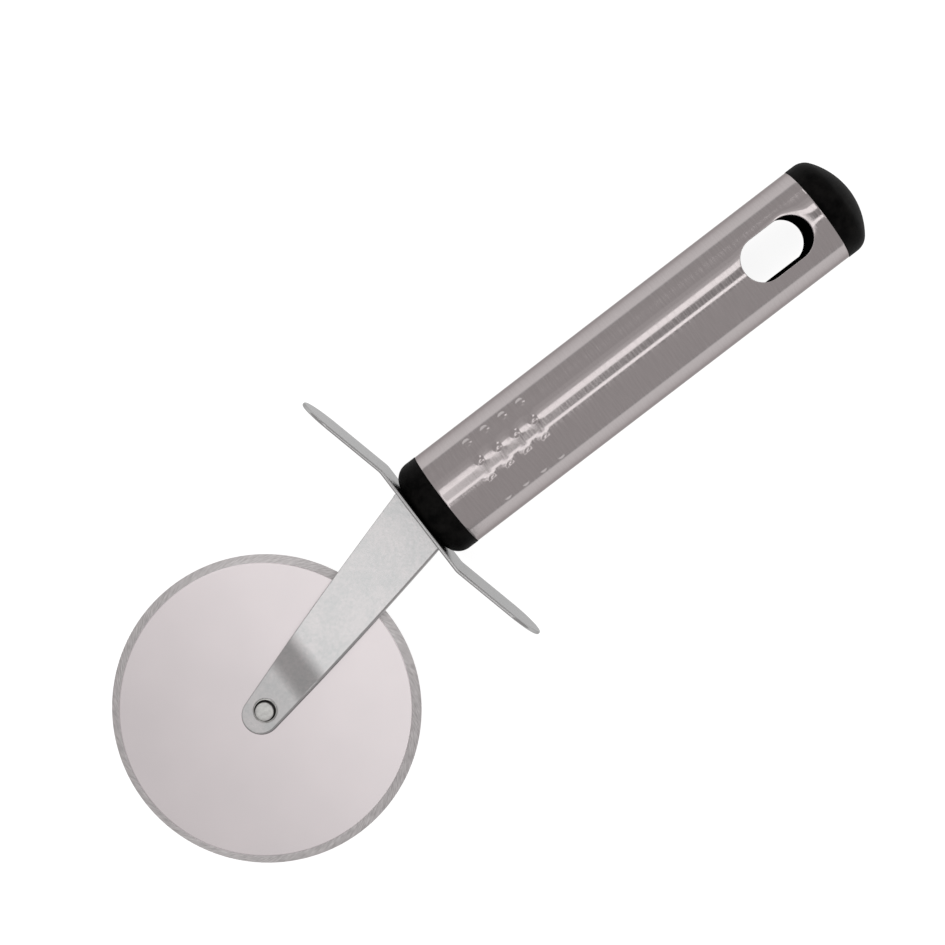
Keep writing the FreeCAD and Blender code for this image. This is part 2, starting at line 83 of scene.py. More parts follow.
# %% [markdown]
# ## The camera
# The picture was taken from straight above, a little to one side, with a long lens. The place, the turn
# and the focal length were found by fitting the outlines of tube, slot, guard and wheel, so the camera is
# set from numbers and not by eye. The picture is taken to be square.

# %% Camera over the table
CAMERA_SPOT = (42.12, 12.30, 513.93)
CAMERA_TURN = (-2.8742, 1.6904, -37.5569)
CAMERA_LENS, CAMERA_SENSOR = 93.355, 36.0
camera_data = bpy.data.cameras.new("camera")
camera_data.sensor_fit = "HORIZONTAL"
camera_data.sensor_width = CAMERA_SENSOR
camera_data.lens = CAMERA_LENS
camera_data.clip_start = 10 * MM
camera = bpy.data.objects.new("camera", camera_data)
camera.location = on_table(CAMERA_SPOT)
camera.rotation_euler = [radians(angle) for angle in CAMERA_TURN]
bpy.context.scene.collection.objects.link(camera)
bpy.context.scene.camera = camera
print("camera at", np.round(np.array(camera.location), 4), "lens", camera_data.lens)

# %% [markdown]
# ## Node trees in code
# Materials, the world and Geometry Nodes are all node trees, so one small function serves all of
# them: it adds a node, sets its options, and fills its inputs with values or with other nodes' outputs.
# Colours are written as hex values, as a paint program shows them, and turned to linear light here.

# %% Helpers for nodes and colours
def add(tree, kind, options=None, inputs=None, stops=()):
    """Add a node. Options are its settings, or one word for its operation. An input is named or numbered,
    and is given a value, a node or a node's output. Stops of a colour band pair a place with a hex colour."""
    node = tree.nodes.new(kind)
    if isinstance(options, str):
        options = {"operation": options}
    for name, value in (options or {}).items():
        setattr(node, name, value)
    for key, value in (inputs or {}).items():
        socket = node.inputs[key]
        if isinstance(value, bpy.types.Node):
            tree.links.new(value.outputs[0], socket)
        elif isinstance(value, bpy.types.NodeSocket):
            tree.links.new(value, socket)
        else:
            socket.default_value = value
    for step, (place, code) in enumerate(stops):
        node.color_ramp.elements[step].position = place
        node.color_ramp.elements[step].color = linear(code)
    return node


def linear(code):
    """A hex colour in sRGB as linear red, green, blue and alpha."""
    values = []
    for place in (1, 3, 5):
        share = int(code[place:place + 2], 16) / 255
        values.append(share / 12.92 if share <= 0.04045 else ((share + 0.055) / 1.055) ** 2.4)
    return (*values, 1.0)


def new_material(name):
    """A named material with an empty node tree."""
    material = bpy.data.materials.new(name)
    material.use_nodes = True
    material.node_tree.nodes.clear()
    print("material:", name)
    return material, material.node_tree


print("mid grey in linear light:", [round(value, 4) for value in linear("#808080")])

# %% [markdown]
# ## Studio: floor, world and softboxes
# Polished metal has almost no colour of its own: it shows the room. In the picture the tube carries two
# bright stripes along its top with a grey gap between them, the wheel is evenly bright, and the rest
# of the steel is mid grey. So the room is a plain grey world with a darker ceiling, a row of softboxes
# over the wheel and two strips of light over the handle. Three more stand far out, where only sloping steel
# mirrors them: two behind the handle's end for the flanks of the dots, and one before the wheel for its
# ground ring. They could be glowing planes, but area lamps give the same reflection with less noise. The
# floor is white board. A glow in its material, for camera, glossy and transmitted rays alike, lifts it to
# white round the tool and fades to the room's grey further out, so there is no hard horizon. The board
# under the glow keeps the tool's soft shadow.

# %% World and floor
ROOM_GREY = "#CBC8C8"
BOARD_COLOUR = "#969696"
# The ceiling, behind the camera: how steep the rays are that reach it, and its share of the walls' light
CEILING_FROM, CEILING_TO, CEILING_SHARE = 0.94, 0.995, 0.6
# The floor's glow near the tool and far from it, and the distances in metres where it starts and ends to fade
GLOW_NEAR, GLOW_FAR = 0.9, 0.35
GLOW_FROM, GLOW_TO = 0.15, 0.34
FLOOR_REACH = 4.0
SMOOTH = {"interpolation_type": "SMOOTHSTEP"}
world = bpy.data.worlds.new("grey_studio")
world.use_nodes = True
world.node_tree.nodes.clear()
sky = add(world.node_tree, "ShaderNodeTexCoord")
height = add(world.node_tree, "ShaderNodeSeparateXYZ", inputs={0: sky.outputs["Generated"]})
level = add(world.node_tree, "ShaderNodeMapRange", SMOOTH, {
    "Value": height.outputs["Z"], "From Min": CEILING_FROM, "From Max": CEILING_TO,
    "To Min": 1.0, "To Max": CEILING_SHARE})
room = add(world.node_tree, "ShaderNodeBackground", inputs={"Color": linear(ROOM_GREY), "Strength": level})
add(world.node_tree, "ShaderNodeOutputWorld", inputs={"Surface": room})
bpy.context.scene.world = world
bpy.context.scene.view_settings.view_transform = "Standard"

floor_material, tree = new_material("white_board")
path = add(tree, "ShaderNodeLightPath").outputs
seen = add(tree, "ShaderNodeMath", "MAXIMUM", {0: path["Is Camera Ray"], 1: path["Is Glossy Ray"]})
seen = add(tree, "ShaderNodeMath", "MAXIMUM", {0: seen, 1: path["Is Transmission Ray"]})
place = add(tree, "ShaderNodeTexCoord")
away = add(tree, "ShaderNodeVectorMath", "LENGTH", {0: place.outputs["Object"]})
glow = add(tree, "ShaderNodeMapRange", SMOOTH, {
    "Value": away.outputs["Value"], "From Min": GLOW_FROM, "From Max": GLOW_TO,
    "To Min": GLOW_NEAR, "To Max": GLOW_FAR})
glow = add(tree, "ShaderNodeMath", "MULTIPLY", {0: seen, 1: glow})
board = add(tree, "ShaderNodeBsdfDiffuse", inputs={"Color": linear(BOARD_COLOUR)})
lift = add(tree, "ShaderNodeEmission", inputs={"Color": (1, 1, 1, 1), "Strength": glow})
surface = add(tree, "ShaderNodeAddShader", inputs={0: board, 1: lift})
add(tree, "ShaderNodeOutputMaterial", inputs={"Surface": surface})

floor_mesh = bpy.data.meshes.new("floor")
corners = [(x * FLOOR_REACH, y * FLOOR_REACH, 0) for x, y in ((-1, -1), (1, -1), (1, 1), (-1, 1))]
floor_mesh.from_pydata(corners, [], [(0, 1, 2, 3)])
floor_mesh.materials.append(floor_material)
floor = bpy.data.objects.new("floor", floor_mesh)
bpy.context.scene.collection.objects.link(floor)
print("room", round(linear(ROOM_GREY)[0], 3), "board", round(linear(BOARD_COLOUR)[0], 3), "glow", GLOW_NEAR)

# %% Softboxes above the tool
LAMP_HEIGHT = 1000.0
# Each softbox: its reach along the handle and across it in mm, and how much brighter than the room it is
SOFTBOXES = {
    "wheel_box_far": ((-600, -420), (-340, 260), 0.3),
    "wheel_box_left": ((-420, -290), (-340, 260), 0.75),
    "wheel_box_middle": ((-290, -210), (-340, 280), 1.0),
    "wheel_box_right": ((-210, -165), (-330, 300), 1.5),
    "wheel_box_bright": ((-165, -120), (-300, 400), 2.0),
    "fork_box": ((-120, -75), (-190, 489), 1.75),
    "gap_fill": ((-75, 0), (-73, 228), 0.42),
    "broad_strip_front": ((-75, 0), (228, 489), 1.0),
    "narrow_strip_front": ((-75, 0), (-185, -73), 1.1),
    "broad_strip": ((0, 420), (228, 489), 1.38),
    "narrow_strip": ((0, 420), (-185, -73), 1.75),
    "soft_edge": ((-75, 420), (489, 680), 0.24),
    "faint_edge": ((-75, 420), (680, 980), 0.1),
    "handle_box": ((620, 1100), (-320, 120), 1.0),
    "dot_box": ((760, 1160), (1500, 2700), 2.2),
    "rim_box": ((-1050, -720), (-600, -260), 1.2),
}
for name, (along, across, brightness) in SOFTBOXES.items():
    lamp_data = bpy.data.lights.new(name, "AREA")
    lamp_data.shape = "RECTANGLE"
    lamp_data.size = (along[1] - along[0]) * MM
    lamp_data.size_y = (across[1] - across[0]) * MM
    lamp_data.energy = brightness * pi * lamp_data.size * lamp_data.size_y
    lamp = bpy.data.objects.new(name, lamp_data)
    lamp.location = on_table((sum(along) / 2, sum(across) / 2, LAMP_HEIGHT))
    lamp.visible_camera = False
    bpy.context.scene.collection.objects.link(lamp)
    print(name, "power", round(lamp_data.energy, 3), "W")

# %% [markdown]
# ## Steel and plastic
# All the bright pieces that show are stainless steel, and what tells them apart is how each was finished.
# The tube was spun against a brush, so its hairlines run round it and smear the reflections along the
# handle. The wheel was rolled and lightly polished, the yoke was tumbled after bending, and the guard was
# buffed. The collar and the cap are moulded in black plastic with a fine grain. Each finish is named for
# that. Some differ only in their tones, the size of their clouds and their gloss, and one function makes
# those.

# %% Finishes that are clouded and nothing more
def clouded(name, cloud, detail, tones, gloss):
    """Two tones drift into each other in soft clouds of a size in mm. Gloss holds the shader's values."""
    material, tree = new_material(name)
    place = add(tree, "ShaderNodeTexCoord")
    clouds = add(tree, "ShaderNodeTexNoise", inputs={
        "Vector": place.outputs["Object"], "Scale": 1 / (cloud * MM), "Detail": detail})
    tint = add(tree, "ShaderNodeValToRGB", inputs={"Fac": clouds}, stops=((0.0, tones[0]), (1.0, tones[1])))
    surface = add(tree, "ShaderNodeBsdfPrincipled", inputs={"Base Color": tint, **gloss})
    add(tree, "ShaderNodeOutputMaterial", inputs={"Surface": surface})
    return material


# Cold-rolled stainless sheet, lightly polished: an even, faintly clouded sheen that blurs what it mirrors
wheel_steel = clouded("stainless_rolled_satin", cloud=14.0, detail=3.0, tones=("#ABA6A7", "#B3ADAE"),
                      gloss={"Metallic": 1.0, "Roughness": 0.2})
# Stainless plate buffed on a cloth wheel: a cool, nearly even grey with a slight haze
guard_steel = clouded("stainless_buffed", cloud=2.5, detail=3.0, tones=("#A6A6A6", "#B0B0B0"),
                      gloss={"Metallic": 1.0, "Roughness": 0.22, "Specular Tint": linear("#C4C4C4")})
# The rivet's groove and neck, painted near black as shade and dark reflection: a line that sets off the
# bright face
rivet_neck_painted_shade = clouded("steel_neck_painted_shade", cloud=0.5, detail=2.0, tones=("#2A2928", "#4C4A48"),
                     gloss={"Metallic": 1.0, "Roughness": 0.4})
# Moulded polypropylene from a rough core, in the slot's lining: matt and without gloss, and a deeper black
# than the dome, painted as the shade inside the slot
lining_plastic_painted_shade = clouded("polypropylene_black_lining_painted_shade", cloud=1.5, detail=3.0,
                         tones=("#010101", "#0A0A0A"), gloss={"Roughness": 0.95, "Specular IOR Level": 0.0})
# Natural nylon: a milky, warm white, half matt
nylon = clouded("nylon_natural", cloud=1.2, detail=2.0, tones=("#DCD8CB", "#E8E5DA"),
                gloss={"Roughness": 0.5})

# %% Brushed steel of the tube
HAIRLINE_ALONG, HAIRLINE_AROUND = 0.4, 5.0
# Drawn stainless tube spun against a brush: light runs long along the handle and stays crisp across it
tube_steel, tree = new_material("stainless_brushed_round_the_tube")
# The map is in millimetres: along the handle, then round it. Hairlines are drawn a little coarse, to show.
turned_map = add(tree, "ShaderNodeUVMap", {"uv_map": "turned_mm"})
stretch = add(tree, "ShaderNodeMapping", inputs={
    "Vector": turned_map, "Scale": (1 / HAIRLINE_ALONG, 1 / HAIRLINE_AROUND, 1)})
hairlines = add(tree, "ShaderNodeTexNoise", {"noise_dimensions": "2D"}, {
    "Vector": stretch, "Scale": 1.0, "Detail": 3.0, "Roughness": 0.6})
tint = add(tree, "ShaderNodeValToRGB", inputs={"Fac": hairlines}, stops=((0.3, "#ABA5A5"), (0.7, "#B0AAAA")))
groove = add(tree, "ShaderNodeBump", inputs={"Height": hairlines, "Strength": 0.14, "Distance": 0.03 * MM})
# A deeper hairline scatters more, so the light of the stripes spills into the dark beside them in fine ticks
scatter = add(tree, "ShaderNodeMapRange", inputs={
    "Value": hairlines, "From Min": 0.32, "From Max": 0.68, "To Min": 0.115, "To Max": 0.22})
grain = add(tree, "ShaderNodeTangent", {"direction_type": "UV_MAP", "uv_map": "turned_mm"})
surface = add(tree, "ShaderNodeBsdfPrincipled", inputs={
    "Base Color": tint, "Metallic": 1.0, "Roughness": scatter, "Anisotropic": 0.86,
    "Specular Tint": linear("#B4B0B0"), "Tangent": grain, "Normal": groove})
add(tree, "ShaderNodeOutputMaterial", inputs={"Surface": surface})

# %% Ground edge of the wheel
SCRATCH_SLANT, SCRATCH_WIDE, SCRATCH_LONG = radians(24), 0.2, 2.2
# The wheel's sheet where a stone has ground it: a duller ring of slanting scratches, light and dark by turns
edge_steel, tree = new_material("stainless_ground_edge")
# The wheel's map is in millimetres: outwards, then along the rim. The stone crossed the edge on a slant,
# and its scratches are drawn coarser than its grit, to show.
turned_map = add(tree, "ShaderNodeUVMap", {"uv_map": "turned_mm"})
slant = add(tree, "ShaderNodeMapping", {"vector_type": "TEXTURE"}, {
    "Vector": turned_map, "Rotation": (0, 0, SCRATCH_SLANT), "Scale": (SCRATCH_WIDE, SCRATCH_LONG, 1)})
scratch = add(tree, "ShaderNodeTexNoise", {"noise_dimensions": "2D"}, {
    "Vector": slant, "Scale": 1.0, "Detail": 3.0, "Roughness": 0.6})
tint = add(tree, "ShaderNodeValToRGB", inputs={"Fac": scratch}, stops=((0.3, "#A6A3A3"), (0.7, "#CECBCB")))
grain = add(tree, "ShaderNodeTangent", {"direction_type": "UV_MAP", "uv_map": "turned_mm"})
surface = add(tree, "ShaderNodeBsdfPrincipled", inputs={
    "Base Color": tint, "Metallic": 1.0, "Roughness": 0.45, "Anisotropic": 0.8, "Tangent": grain})
add(tree, "ShaderNodeOutputMaterial", inputs={"Surface": surface})

# %% Tumbled steel of the yoke
MOTTLE, PATCH = 0.7, 4.5
# Bent stainless strip tumbled with stones: a soft sheen with fine mottle and faint warm and cool patches
yoke_steel, tree = new_material("stainless_tumbled")
place = add(tree, "ShaderNodeTexCoord")
mottle = add(tree, "ShaderNodeTexNoise", inputs={
    "Vector": place.outputs["Object"], "Scale": 1 / (MOTTLE * MM), "Detail": 3.0, "Roughness": 0.6})
patches = add(tree, "ShaderNodeTexNoise", inputs={
    "Vector": place.outputs["Object"], "Scale": 1 / (PATCH * MM), "Detail": 2.0})
mean = add(tree, "ShaderNodeMath", "ADD", {0: mottle, 1: patches})
mean = add(tree, "ShaderNodeMath", "MULTIPLY", {0: mean, 1: 0.5})
tint = add(tree, "ShaderNodeValToRGB", inputs={"Fac": mean}, stops=((0.38, "#A5A6A6"), (0.62, "#AFADAD")))
dents = add(tree, "ShaderNodeBump", inputs={"Height": mottle, "Strength": 0.25, "Distance": 0.03 * MM})
surface = add(tree, "ShaderNodeBsdfPrincipled", inputs={
    "Base Color": tint, "Metallic": 1.0, "Roughness": 0.23, "Normal": dents})
add(tree, "ShaderNodeOutputMaterial", inputs={"Surface": surface})

# %% Bright steel of the rivet, and zinc on the hidden fasteners
HAMMER_BLOW, ZINC_SPANGLE = 0.9, 0.8
# Stainless rivet closed with a hammer: a small bright face, uneven with shallow dents
rivet_steel, tree = new_material("stainless_peened")
place = add(tree, "ShaderNodeTexCoord")
blows = add(tree, "ShaderNodeTexNoise", inputs={
    "Vector": place.outputs["Object"], "Scale": 1 / (HAMMER_BLOW * MM), "Detail": 2.0})
tint = add(tree, "ShaderNodeValToRGB", inputs={"Fac": blows}, stops=((0.0, "#80807E"), (1.0, "#C0C0BE")))
dents = add(tree, "ShaderNodeBump", inputs={"Height": blows, "Strength": 0.5, "Distance": 0.1 * MM})
surface = add(tree, "ShaderNodeBsdfPrincipled", inputs={
    "Base Color": tint, "Metallic": 1.0, "Roughness": 0.3, "Normal": dents})
add(tree, "ShaderNodeOutputMaterial", inputs={"Surface": surface})

# Zinc plate on the small fasteners: a pale bluish grey with a fine crystal pattern
fastener_zinc, tree = new_material("steel_zinc_plated")
place = add(tree, "ShaderNodeTexCoord")
spangle = add(tree, "ShaderNodeTexVoronoi", inputs={
    "Vector": place.outputs["Object"], "Scale": 1 / (ZINC_SPANGLE * MM)})
tint = add(tree, "ShaderNodeValToRGB", inputs={"Fac": spangle.outputs["Distance"]},
           stops=((0.0, "#B5B8BC"), (1.0, "#C6C8CA")))
surface = add(tree, "ShaderNodeBsdfPrincipled", inputs={
    "Base Color": tint, "Metallic": 1.0, "Roughness": 0.35})
add(tree, "ShaderNodeOutputMaterial", inputs={"Surface": surface})

# %% Black moulded plastic
# The etched grain is drawn about three times as coarse as it is, to show
GRIT, MOULD_CLOUD = 0.45, 3.0
# Polypropylene moulded in a finely etched tool: deep black, a little cloudy, with a faint broad sheen
black_plastic, tree = new_material("polypropylene_black_fine_grain")
place = add(tree, "ShaderNodeTexCoord")
grit = add(tree, "ShaderNodeTexNoise", inputs={
    "Vector": place.outputs["Object"], "Scale": 1 / (GRIT * MM), "Detail": 3.0, "Roughness": 0.6})
clouds = add(tree, "ShaderNodeTexNoise", inputs={
    "Vector": place.outputs["Object"], "Scale": 1 / (MOULD_CLOUD * MM), "Detail": 4.0, "Roughness": 0.65})
tint = add(tree, "ShaderNodeValToRGB", inputs={"Fac": clouds}, stops=((0.35, "#020202"), (0.75, "#171615")))
pits = add(tree, "ShaderNodeBump", inputs={"Height": grit, "Strength": 0.5, "Distance": 0.06 * MM})
surface = add(tree, "ShaderNodeBsdfPrincipled", inputs={
    "Base Color": tint, "Roughness": 0.6, "Specular IOR Level": 0.04, "Normal": pits})
add(tree, "ShaderNodeOutputMaterial", inputs={"Surface": surface})

# %% [markdown]
# ## Pieces from points and faces
# Most of what shows is made from points and faces in the tool's frame. Four helpers do the common work. One
# rounds the corners of a drawn line with arcs, as a file rounds an edge. One turns points and faces into an
# object, lays it on the table, and points its faces outwards. One makes what modifiers show a plain mesh, and
# the last says which body the piece moves with and which CAD node it stands for.

# %% Helpers for shapes
def soften(corners, steps):
    """A line through corners of (a, b, radius), with every corner that has a radius rounded off."""
    spots = [np.array(corner[:2], float) for corner in corners]
    line = []
    for here, spot in enumerate(spots):
        radius = corners[here][2]
        if radius == 0:
            line.append(spot)
            continue
        back = spots[here - 1] - spot
        forth = spots[here + 1] - spot
        back /= np.linalg.norm(back)
        forth /= np.linalg.norm(forth)
        half = acos(np.clip(back @ forth, -1, 1)) / 2
        middle = (back + forth) / np.linalg.norm(back + forth)
        centre = spot + middle * radius / sin(half)
        start = spot + back * radius / tan(half) - centre
        end = spot + forth * radius / tan(half) - centre
        sweep = pi - 2 * half
        for share in np.linspace(0, 1, steps + 1):
            bent = sin((1 - share) * sweep) * start + sin(share * sweep) * end
            line.append(centre + bent / sin(sweep))
    return np.array(line)


def new_piece(name, points, faces, materials, face_materials=None, corner_map=None):
    """An object with its mesh laid on the table, its faces pointing outwards, shaded smooth."""
    mesh = bpy.data.meshes.new(name)
    mesh.from_pydata([tuple(point) for point in on_table(points)], [], faces)
    for material in materials:
        mesh.materials.append(material)
    if face_materials is not None:
        mesh.polygons.foreach_set("material_index", face_materials)
    if corner_map is not None:
        layer = mesh.uv_layers.new(name="turned_mm")
        layer.data.foreach_set("uv", np.asarray(corner_map, np.float32).ravel())
    shape = bmesh.new()
    shape.from_mesh(mesh)
    loose = [vertex for vertex in shape.verts if not vertex.link_faces]
    bmesh.ops.delete(shape, geom=loose, context="VERTS")
    bmesh.ops.recalc_face_normals(shape, faces=shape.faces)
    shape.to_mesh(mesh)
    shape.free()
    mesh.shade_smooth()
    piece = bpy.data.objects.new(name, mesh)
    bpy.context.scene.collection.objects.link(piece)
    return piece


def bake_modifiers(piece):
    """Make what the modifiers show the object's own plain mesh."""
    graph = bpy.context.evaluated_depsgraph_get()
    made = bpy.data.meshes.new_from_object(
        piece.evaluated_get(graph), preserve_all_data_layers=True, depsgraph=graph)
    piece.modifiers.clear()
    piece.data = made
    made.name = piece.name
    return piece


def hand_over(piece, body, node):
    """The piece moves with a body and stands for a CAD node, which is hidden."""
    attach(piece, body)
    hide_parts(node)
    triangles = sum(len(face.vertices) - 2 for face in piece.data.polygons)
    print(piece.name, "stands for", node, "with", triangles, "triangles")


print("a softened square corner:", np.round(soften([(0, 1, 0), (0, 0, 0.2), (1, 0, 0)], steps=2), 3).tolist())

# %% [markdown]
# ## The cutting wheel
# A disc is stamped from sheet and ground on both sides. The grinding is done by eye, so the
# bevel's inner line wanders: in the picture the bright ring is half a millimetre wider on the handle's
# side. A Boolean or a Spin would make a perfect ring. Turning the profile in code lets the radius of that
# one line change with the angle.

# %% Wheel
wheel_low, wheel_high = tool_box("cutting_wheel")
WHEEL_CENTRE = (wheel_low + wheel_high) / 2
WHEEL_RADIUS = (wheel_high[0] - wheel_low[0]) / 2
WHEEL_THICK, WHEEL_BORE, EDGE_LAND = 1.0, 2.45, 0.16
BEVEL_MEAN = 1.77
# How the bevel's width wanders: how much, how many waves in a turn, and where its first crest is
BEVEL_WAVES = [(0.26, 1, -7.0), (0.13, 2, -72.0), (0.06, 3, 15.0)]
# The line between bevel and flat is rounded over a little way outwards and inwards, and drops outwards
BLEND_OUT, BLEND_IN, BLEND_DROP = 0.07, 0.05, 0.015
# Rings that hold the flat true: from the bevel's line, at a share of the radius, and from the bore
FLAT_RING, MIDDLE_SHARE, BORE_RING = 0.25, 0.6, 0.3
BORE_ROUND = 0.1
WHEEL_STEPS, WHEEL_CREASE = 360, radians(30)


def bevel_width(angle):
    """How wide the ground bevel is at an angle round the wheel."""
    waves = [size * cos(count * (angle - radians(crest))) for size, count, crest in BEVEL_WAVES]
    return BEVEL_MEAN + sum(waves)


def wheel_rings(angle):
    """Radius and height of the wheel's section at an angle, once round, from the bore's foot."""
    flat = WHEEL_RADIUS - bevel_width(angle)
    half, land = WHEEL_THICK / 2, EDGE_LAND / 2
    upper = [(WHEEL_RADIUS, land), (flat + BLEND_OUT, half - BLEND_DROP), (flat - BLEND_IN, half),
             (flat - FLAT_RING, half), (WHEEL_RADIUS * MIDDLE_SHARE, half), (WHEEL_BORE + BORE_RING, half),
             (WHEEL_BORE + BORE_ROUND, half), (WHEEL_BORE, half - BORE_ROUND)]
    return [(radius, -height) for radius, height in reversed(upper)] + upper


points, faces, face_materials, corner_map = [], [], [], []
rings = len(wheel_rings(0.0))
rim = 2 * pi * WHEEL_RADIUS / WHEEL_STEPS
# The ground faces: the lower bevel, the edge's land and the upper bevel
ground = (rings // 2 - 2, rings // 2 - 1, rings // 2)
for step in range(WHEEL_STEPS):
    angle = 2 * pi * step / WHEEL_STEPS
    for radius, height in wheel_rings(angle):
        points.append(WHEEL_CENTRE + np.array([radius * cos(angle), radius * sin(angle), height]))
for step in range(WHEEL_STEPS):
    after = (step + 1) % WHEEL_STEPS
    here_radii = [radius for radius, height in wheel_rings(2 * pi * step / WHEEL_STEPS)]
    after_radii = [radius for radius, height in wheel_rings(2 * pi * after / WHEEL_STEPS)]
    for ring in range(rings):
        beyond = (ring + 1) % rings
        corner_map += [(here_radii[ring], step * rim), (here_radii[beyond], step * rim)]
        corner_map += [(after_radii[beyond], (step + 1) * rim), (after_radii[ring], (step + 1) * rim)]
        here_first, after_first = step * rings, after * rings
        faces.append((here_first + ring, here_first + beyond, after_first + beyond, after_first + ring))
        face_materials.append(1 if ring in ground else 0)
wheel = new_piece("wheel_blade", points, faces, [wheel_steel, edge_steel], face_materials, corner_map)
wheel.data.set_sharp_from_angle(angle=WHEEL_CREASE)
hand_over(wheel, "wheel", "cutting_wheel")
widths = [bevel_width(radians(angle)) for angle in range(360)]
print("bevel from", round(min(widths), 2), "to", round(max(widths), 2), "mm wide")

# %% [markdown]
# ## Bent strips: the yoke and the guard
# Both are flat sheet, cut to an outline and bent along straight lines. A Solidify modifier on a bent
# plane would do, but building both faces from one bent line keeps the wall exact. The line is walked in
# rows, and each row is as wide as the cut outline there. The round ends are flat, so each is one face. A
# Bevel modifier then rounds the cut edges by an edge weight: a punch rolls one edge over and leaves the
# other crisp. A Weighted Normal modifier keeps the flats flat to the eye.

# %% Helpers for bent strips
BEVEL_FULL, BEVEL_SEGMENTS, FLATS_WEIGHT = 0.8, 5, 100
BEND_STEPS = 10


def bent_strip(name, rows, ends, material, weight):
    """A strip from rows in the tool's frame. Each row has the steps from the middle of the sheet to its
    outer and its inner face, then the row's two ends. The two round ends are lists of points in the middle
    of the sheet. The weight of an edge says how far the punch rolled it."""
    points, faces, rolled = [], [], {}
    for outward, inward, low, high in rows:
        points += [low + outward, high + outward, high + inward, low + inward]
    for row in range(len(rows) - 1):
        here, after = 4 * row, 4 * row + 4
        for side in range(4):
            beyond = (side + 1) % 4
            faces.append((here + side, here + beyond, after + beyond, after + side))
        for side in range(4):
            pair = (here + side, after + side)
            rolled[pair] = weight(side in (0, 1), points[pair[0]], points[pair[1]])
    for row, arc in ((0, ends[0]), (len(rows) - 1, ends[1])):
        outward, inward = rows[row][:2]
        first = len(points)
        points += [spot + outward for spot in arc] + [spot + inward for spot in arc]
        count = len(arc)
        outer = [4 * row] + list(range(first, first + count)) + [4 * row + 1]
        inner = [4 * row + 3] + list(range(first + count, first + 2 * count)) + [4 * row + 2]
        faces.append(tuple(outer))
        faces.append(tuple(inner))
        for step in range(count + 1):
            faces.append((outer[step], outer[step + 1], inner[step + 1], inner[step]))
            for chain, is_outer in ((outer, True), (inner, False)):
                pair = (chain[step], chain[step + 1])
                rolled[pair] = weight(is_outer, points[pair[0]], points[pair[1]])
    piece = new_piece(name, points, faces, [material])
    layer = piece.data.attributes.new("bevel_weight_edge", "FLOAT", "EDGE")
    for edge in piece.data.edges:
        first, second = edge.vertices
        layer.data[edge.index].value = rolled.get((first, second), rolled.get((second, first), 0.0))
    bevel = piece.modifiers.new("rolled_edges", "BEVEL")
    bevel.limit_method = "WEIGHT"
    bevel.width = BEVEL_FULL * MM
    bevel.segments = BEVEL_SEGMENTS
    bevel.use_clamp_overlap = False
    flats = piece.modifiers.new("true_flats", "WEIGHTED_NORMAL")
    flats.weight = FLATS_WEIGHT
    return bake_modifiers(piece)


def bend_normals(line):
    """The normals along a bent line in a plane, to the left of its way."""
    ahead = np.gradient(line, axis=0)
    ahead /= np.linalg.norm(ahead, axis=1)[:, None]
    return np.stack([-ahead[:, 1], ahead[:, 0]], 1)


print("full rolled edge", BEVEL_FULL, "mm")

# %% [markdown]
# ## The yoke
# One strip makes both arms: it is bent to a U whose base lies against the guard, and each arm is
# joggled inwards near its tip, where it is riveted. The rivet pulls the tips a little further in. All the
# bends are square to the handle, while the arms lean to one side, so the bends run slantwise across them.
# The outline is drawn in the arm's own direction and the rows are cut from it at steps along the handle.
# The corners at the base are bent sharp, so there each face of the sheet has a rounding of its own.

# %% Yoke: outline of an arm
# The strip's thickness, and how high its middle lies at the tips and along the arms
STRIP, TIP_LEVEL, BASE_LEVEL = 1.0, 1.9, 4.1
# How far the arms lean aside, how far along them the axle is, and where the guard's front face is
CANT, REACH, GUARD_FRONT = radians(13.5), 51.8, -0.4
# Half the arm's width at its root, which lies far enough back for the base to be cut from it
ROOT_HALF, ROOT_SPARE = 7.35, 1.0
ROOT_BACK = ROOT_HALF * tan(CANT) + ROOT_SPARE
# The round tip, whose middle lies past the axle, and the bow of the arm's edges
TIP_RADIUS, TIP_PAST, BOW_RADIUS = 4.1, 1.5, 1200.0
ARM = np.array([-cos(CANT), -sin(CANT)])
ACROSS = np.array([-sin(CANT), cos(CANT)])
ROOT = np.array([GUARD_FRONT, 0.0])
AXLE = ROOT + ARM * REACH
EDGE_TRIES = 12
tip_centre = REACH + TIP_PAST
arm_length = tip_centre + ROOT_BACK
taper = acos(TIP_RADIUS / hypot(ROOT_HALF, arm_length)) - atan(arm_length / ROOT_HALF)
tip_turn = taper + asin(arm_length / 2 / BOW_RADIUS)


def arm_half(along):
    """Half the arm's width at a distance from the guard, from its bowed edge."""
    start = np.array([-ROOT_BACK, ROOT_HALF])
    end = np.array([tip_centre + TIP_RADIUS * sin(tip_turn), TIP_RADIUS * cos(tip_turn)])
    chord = end - start
    inward = np.array([chord[1], -chord[0]]) / np.linalg.norm(chord)
    depth = sqrt(BOW_RADIUS ** 2 - (chord @ chord) / 4)
    centre = (start + end) / 2 + inward * depth
    return centre[1] + sqrt(BOW_RADIUS ** 2 - (along - centre[0]) ** 2)


def arm_edge(x, side):
    """Where the arm's edge on one side crosses a line square to the handle, found in a few tries."""
    along = (ROOT[0] - x) / cos(CANT)
    for _ in range(EDGE_TRIES):
        along = (ROOT[0] - x + side * arm_half(along) * ACROSS[0]) / cos(CANT)
    return (ROOT + ARM * along + ACROSS * side * arm_half(along))[1]


print("arm half width at the guard", round(arm_half(0.0), 2), "and at the axle", round(arm_half(REACH), 2))

# %% Yoke: bends
# The joggle: from the axle to its foot, from its foot to its crest, and the roundings of those two bends
JOG_NEAR, JOG_RUN = 7.8, 6.3
FOOT_ROUND, CREST_ROUND = 18.0, 14.0
# The slope of the tip, and how far before the joggle the flat of the tip begins
TIP_LEAN, TIP_FLAT = tan(radians(4.0)), 5.0
# Roundings of the sheet's outer and inner face at the base's corners
CORNER_OUT, CORNER_IN, CORNER_ROWS = 0.3, 0.1, 7
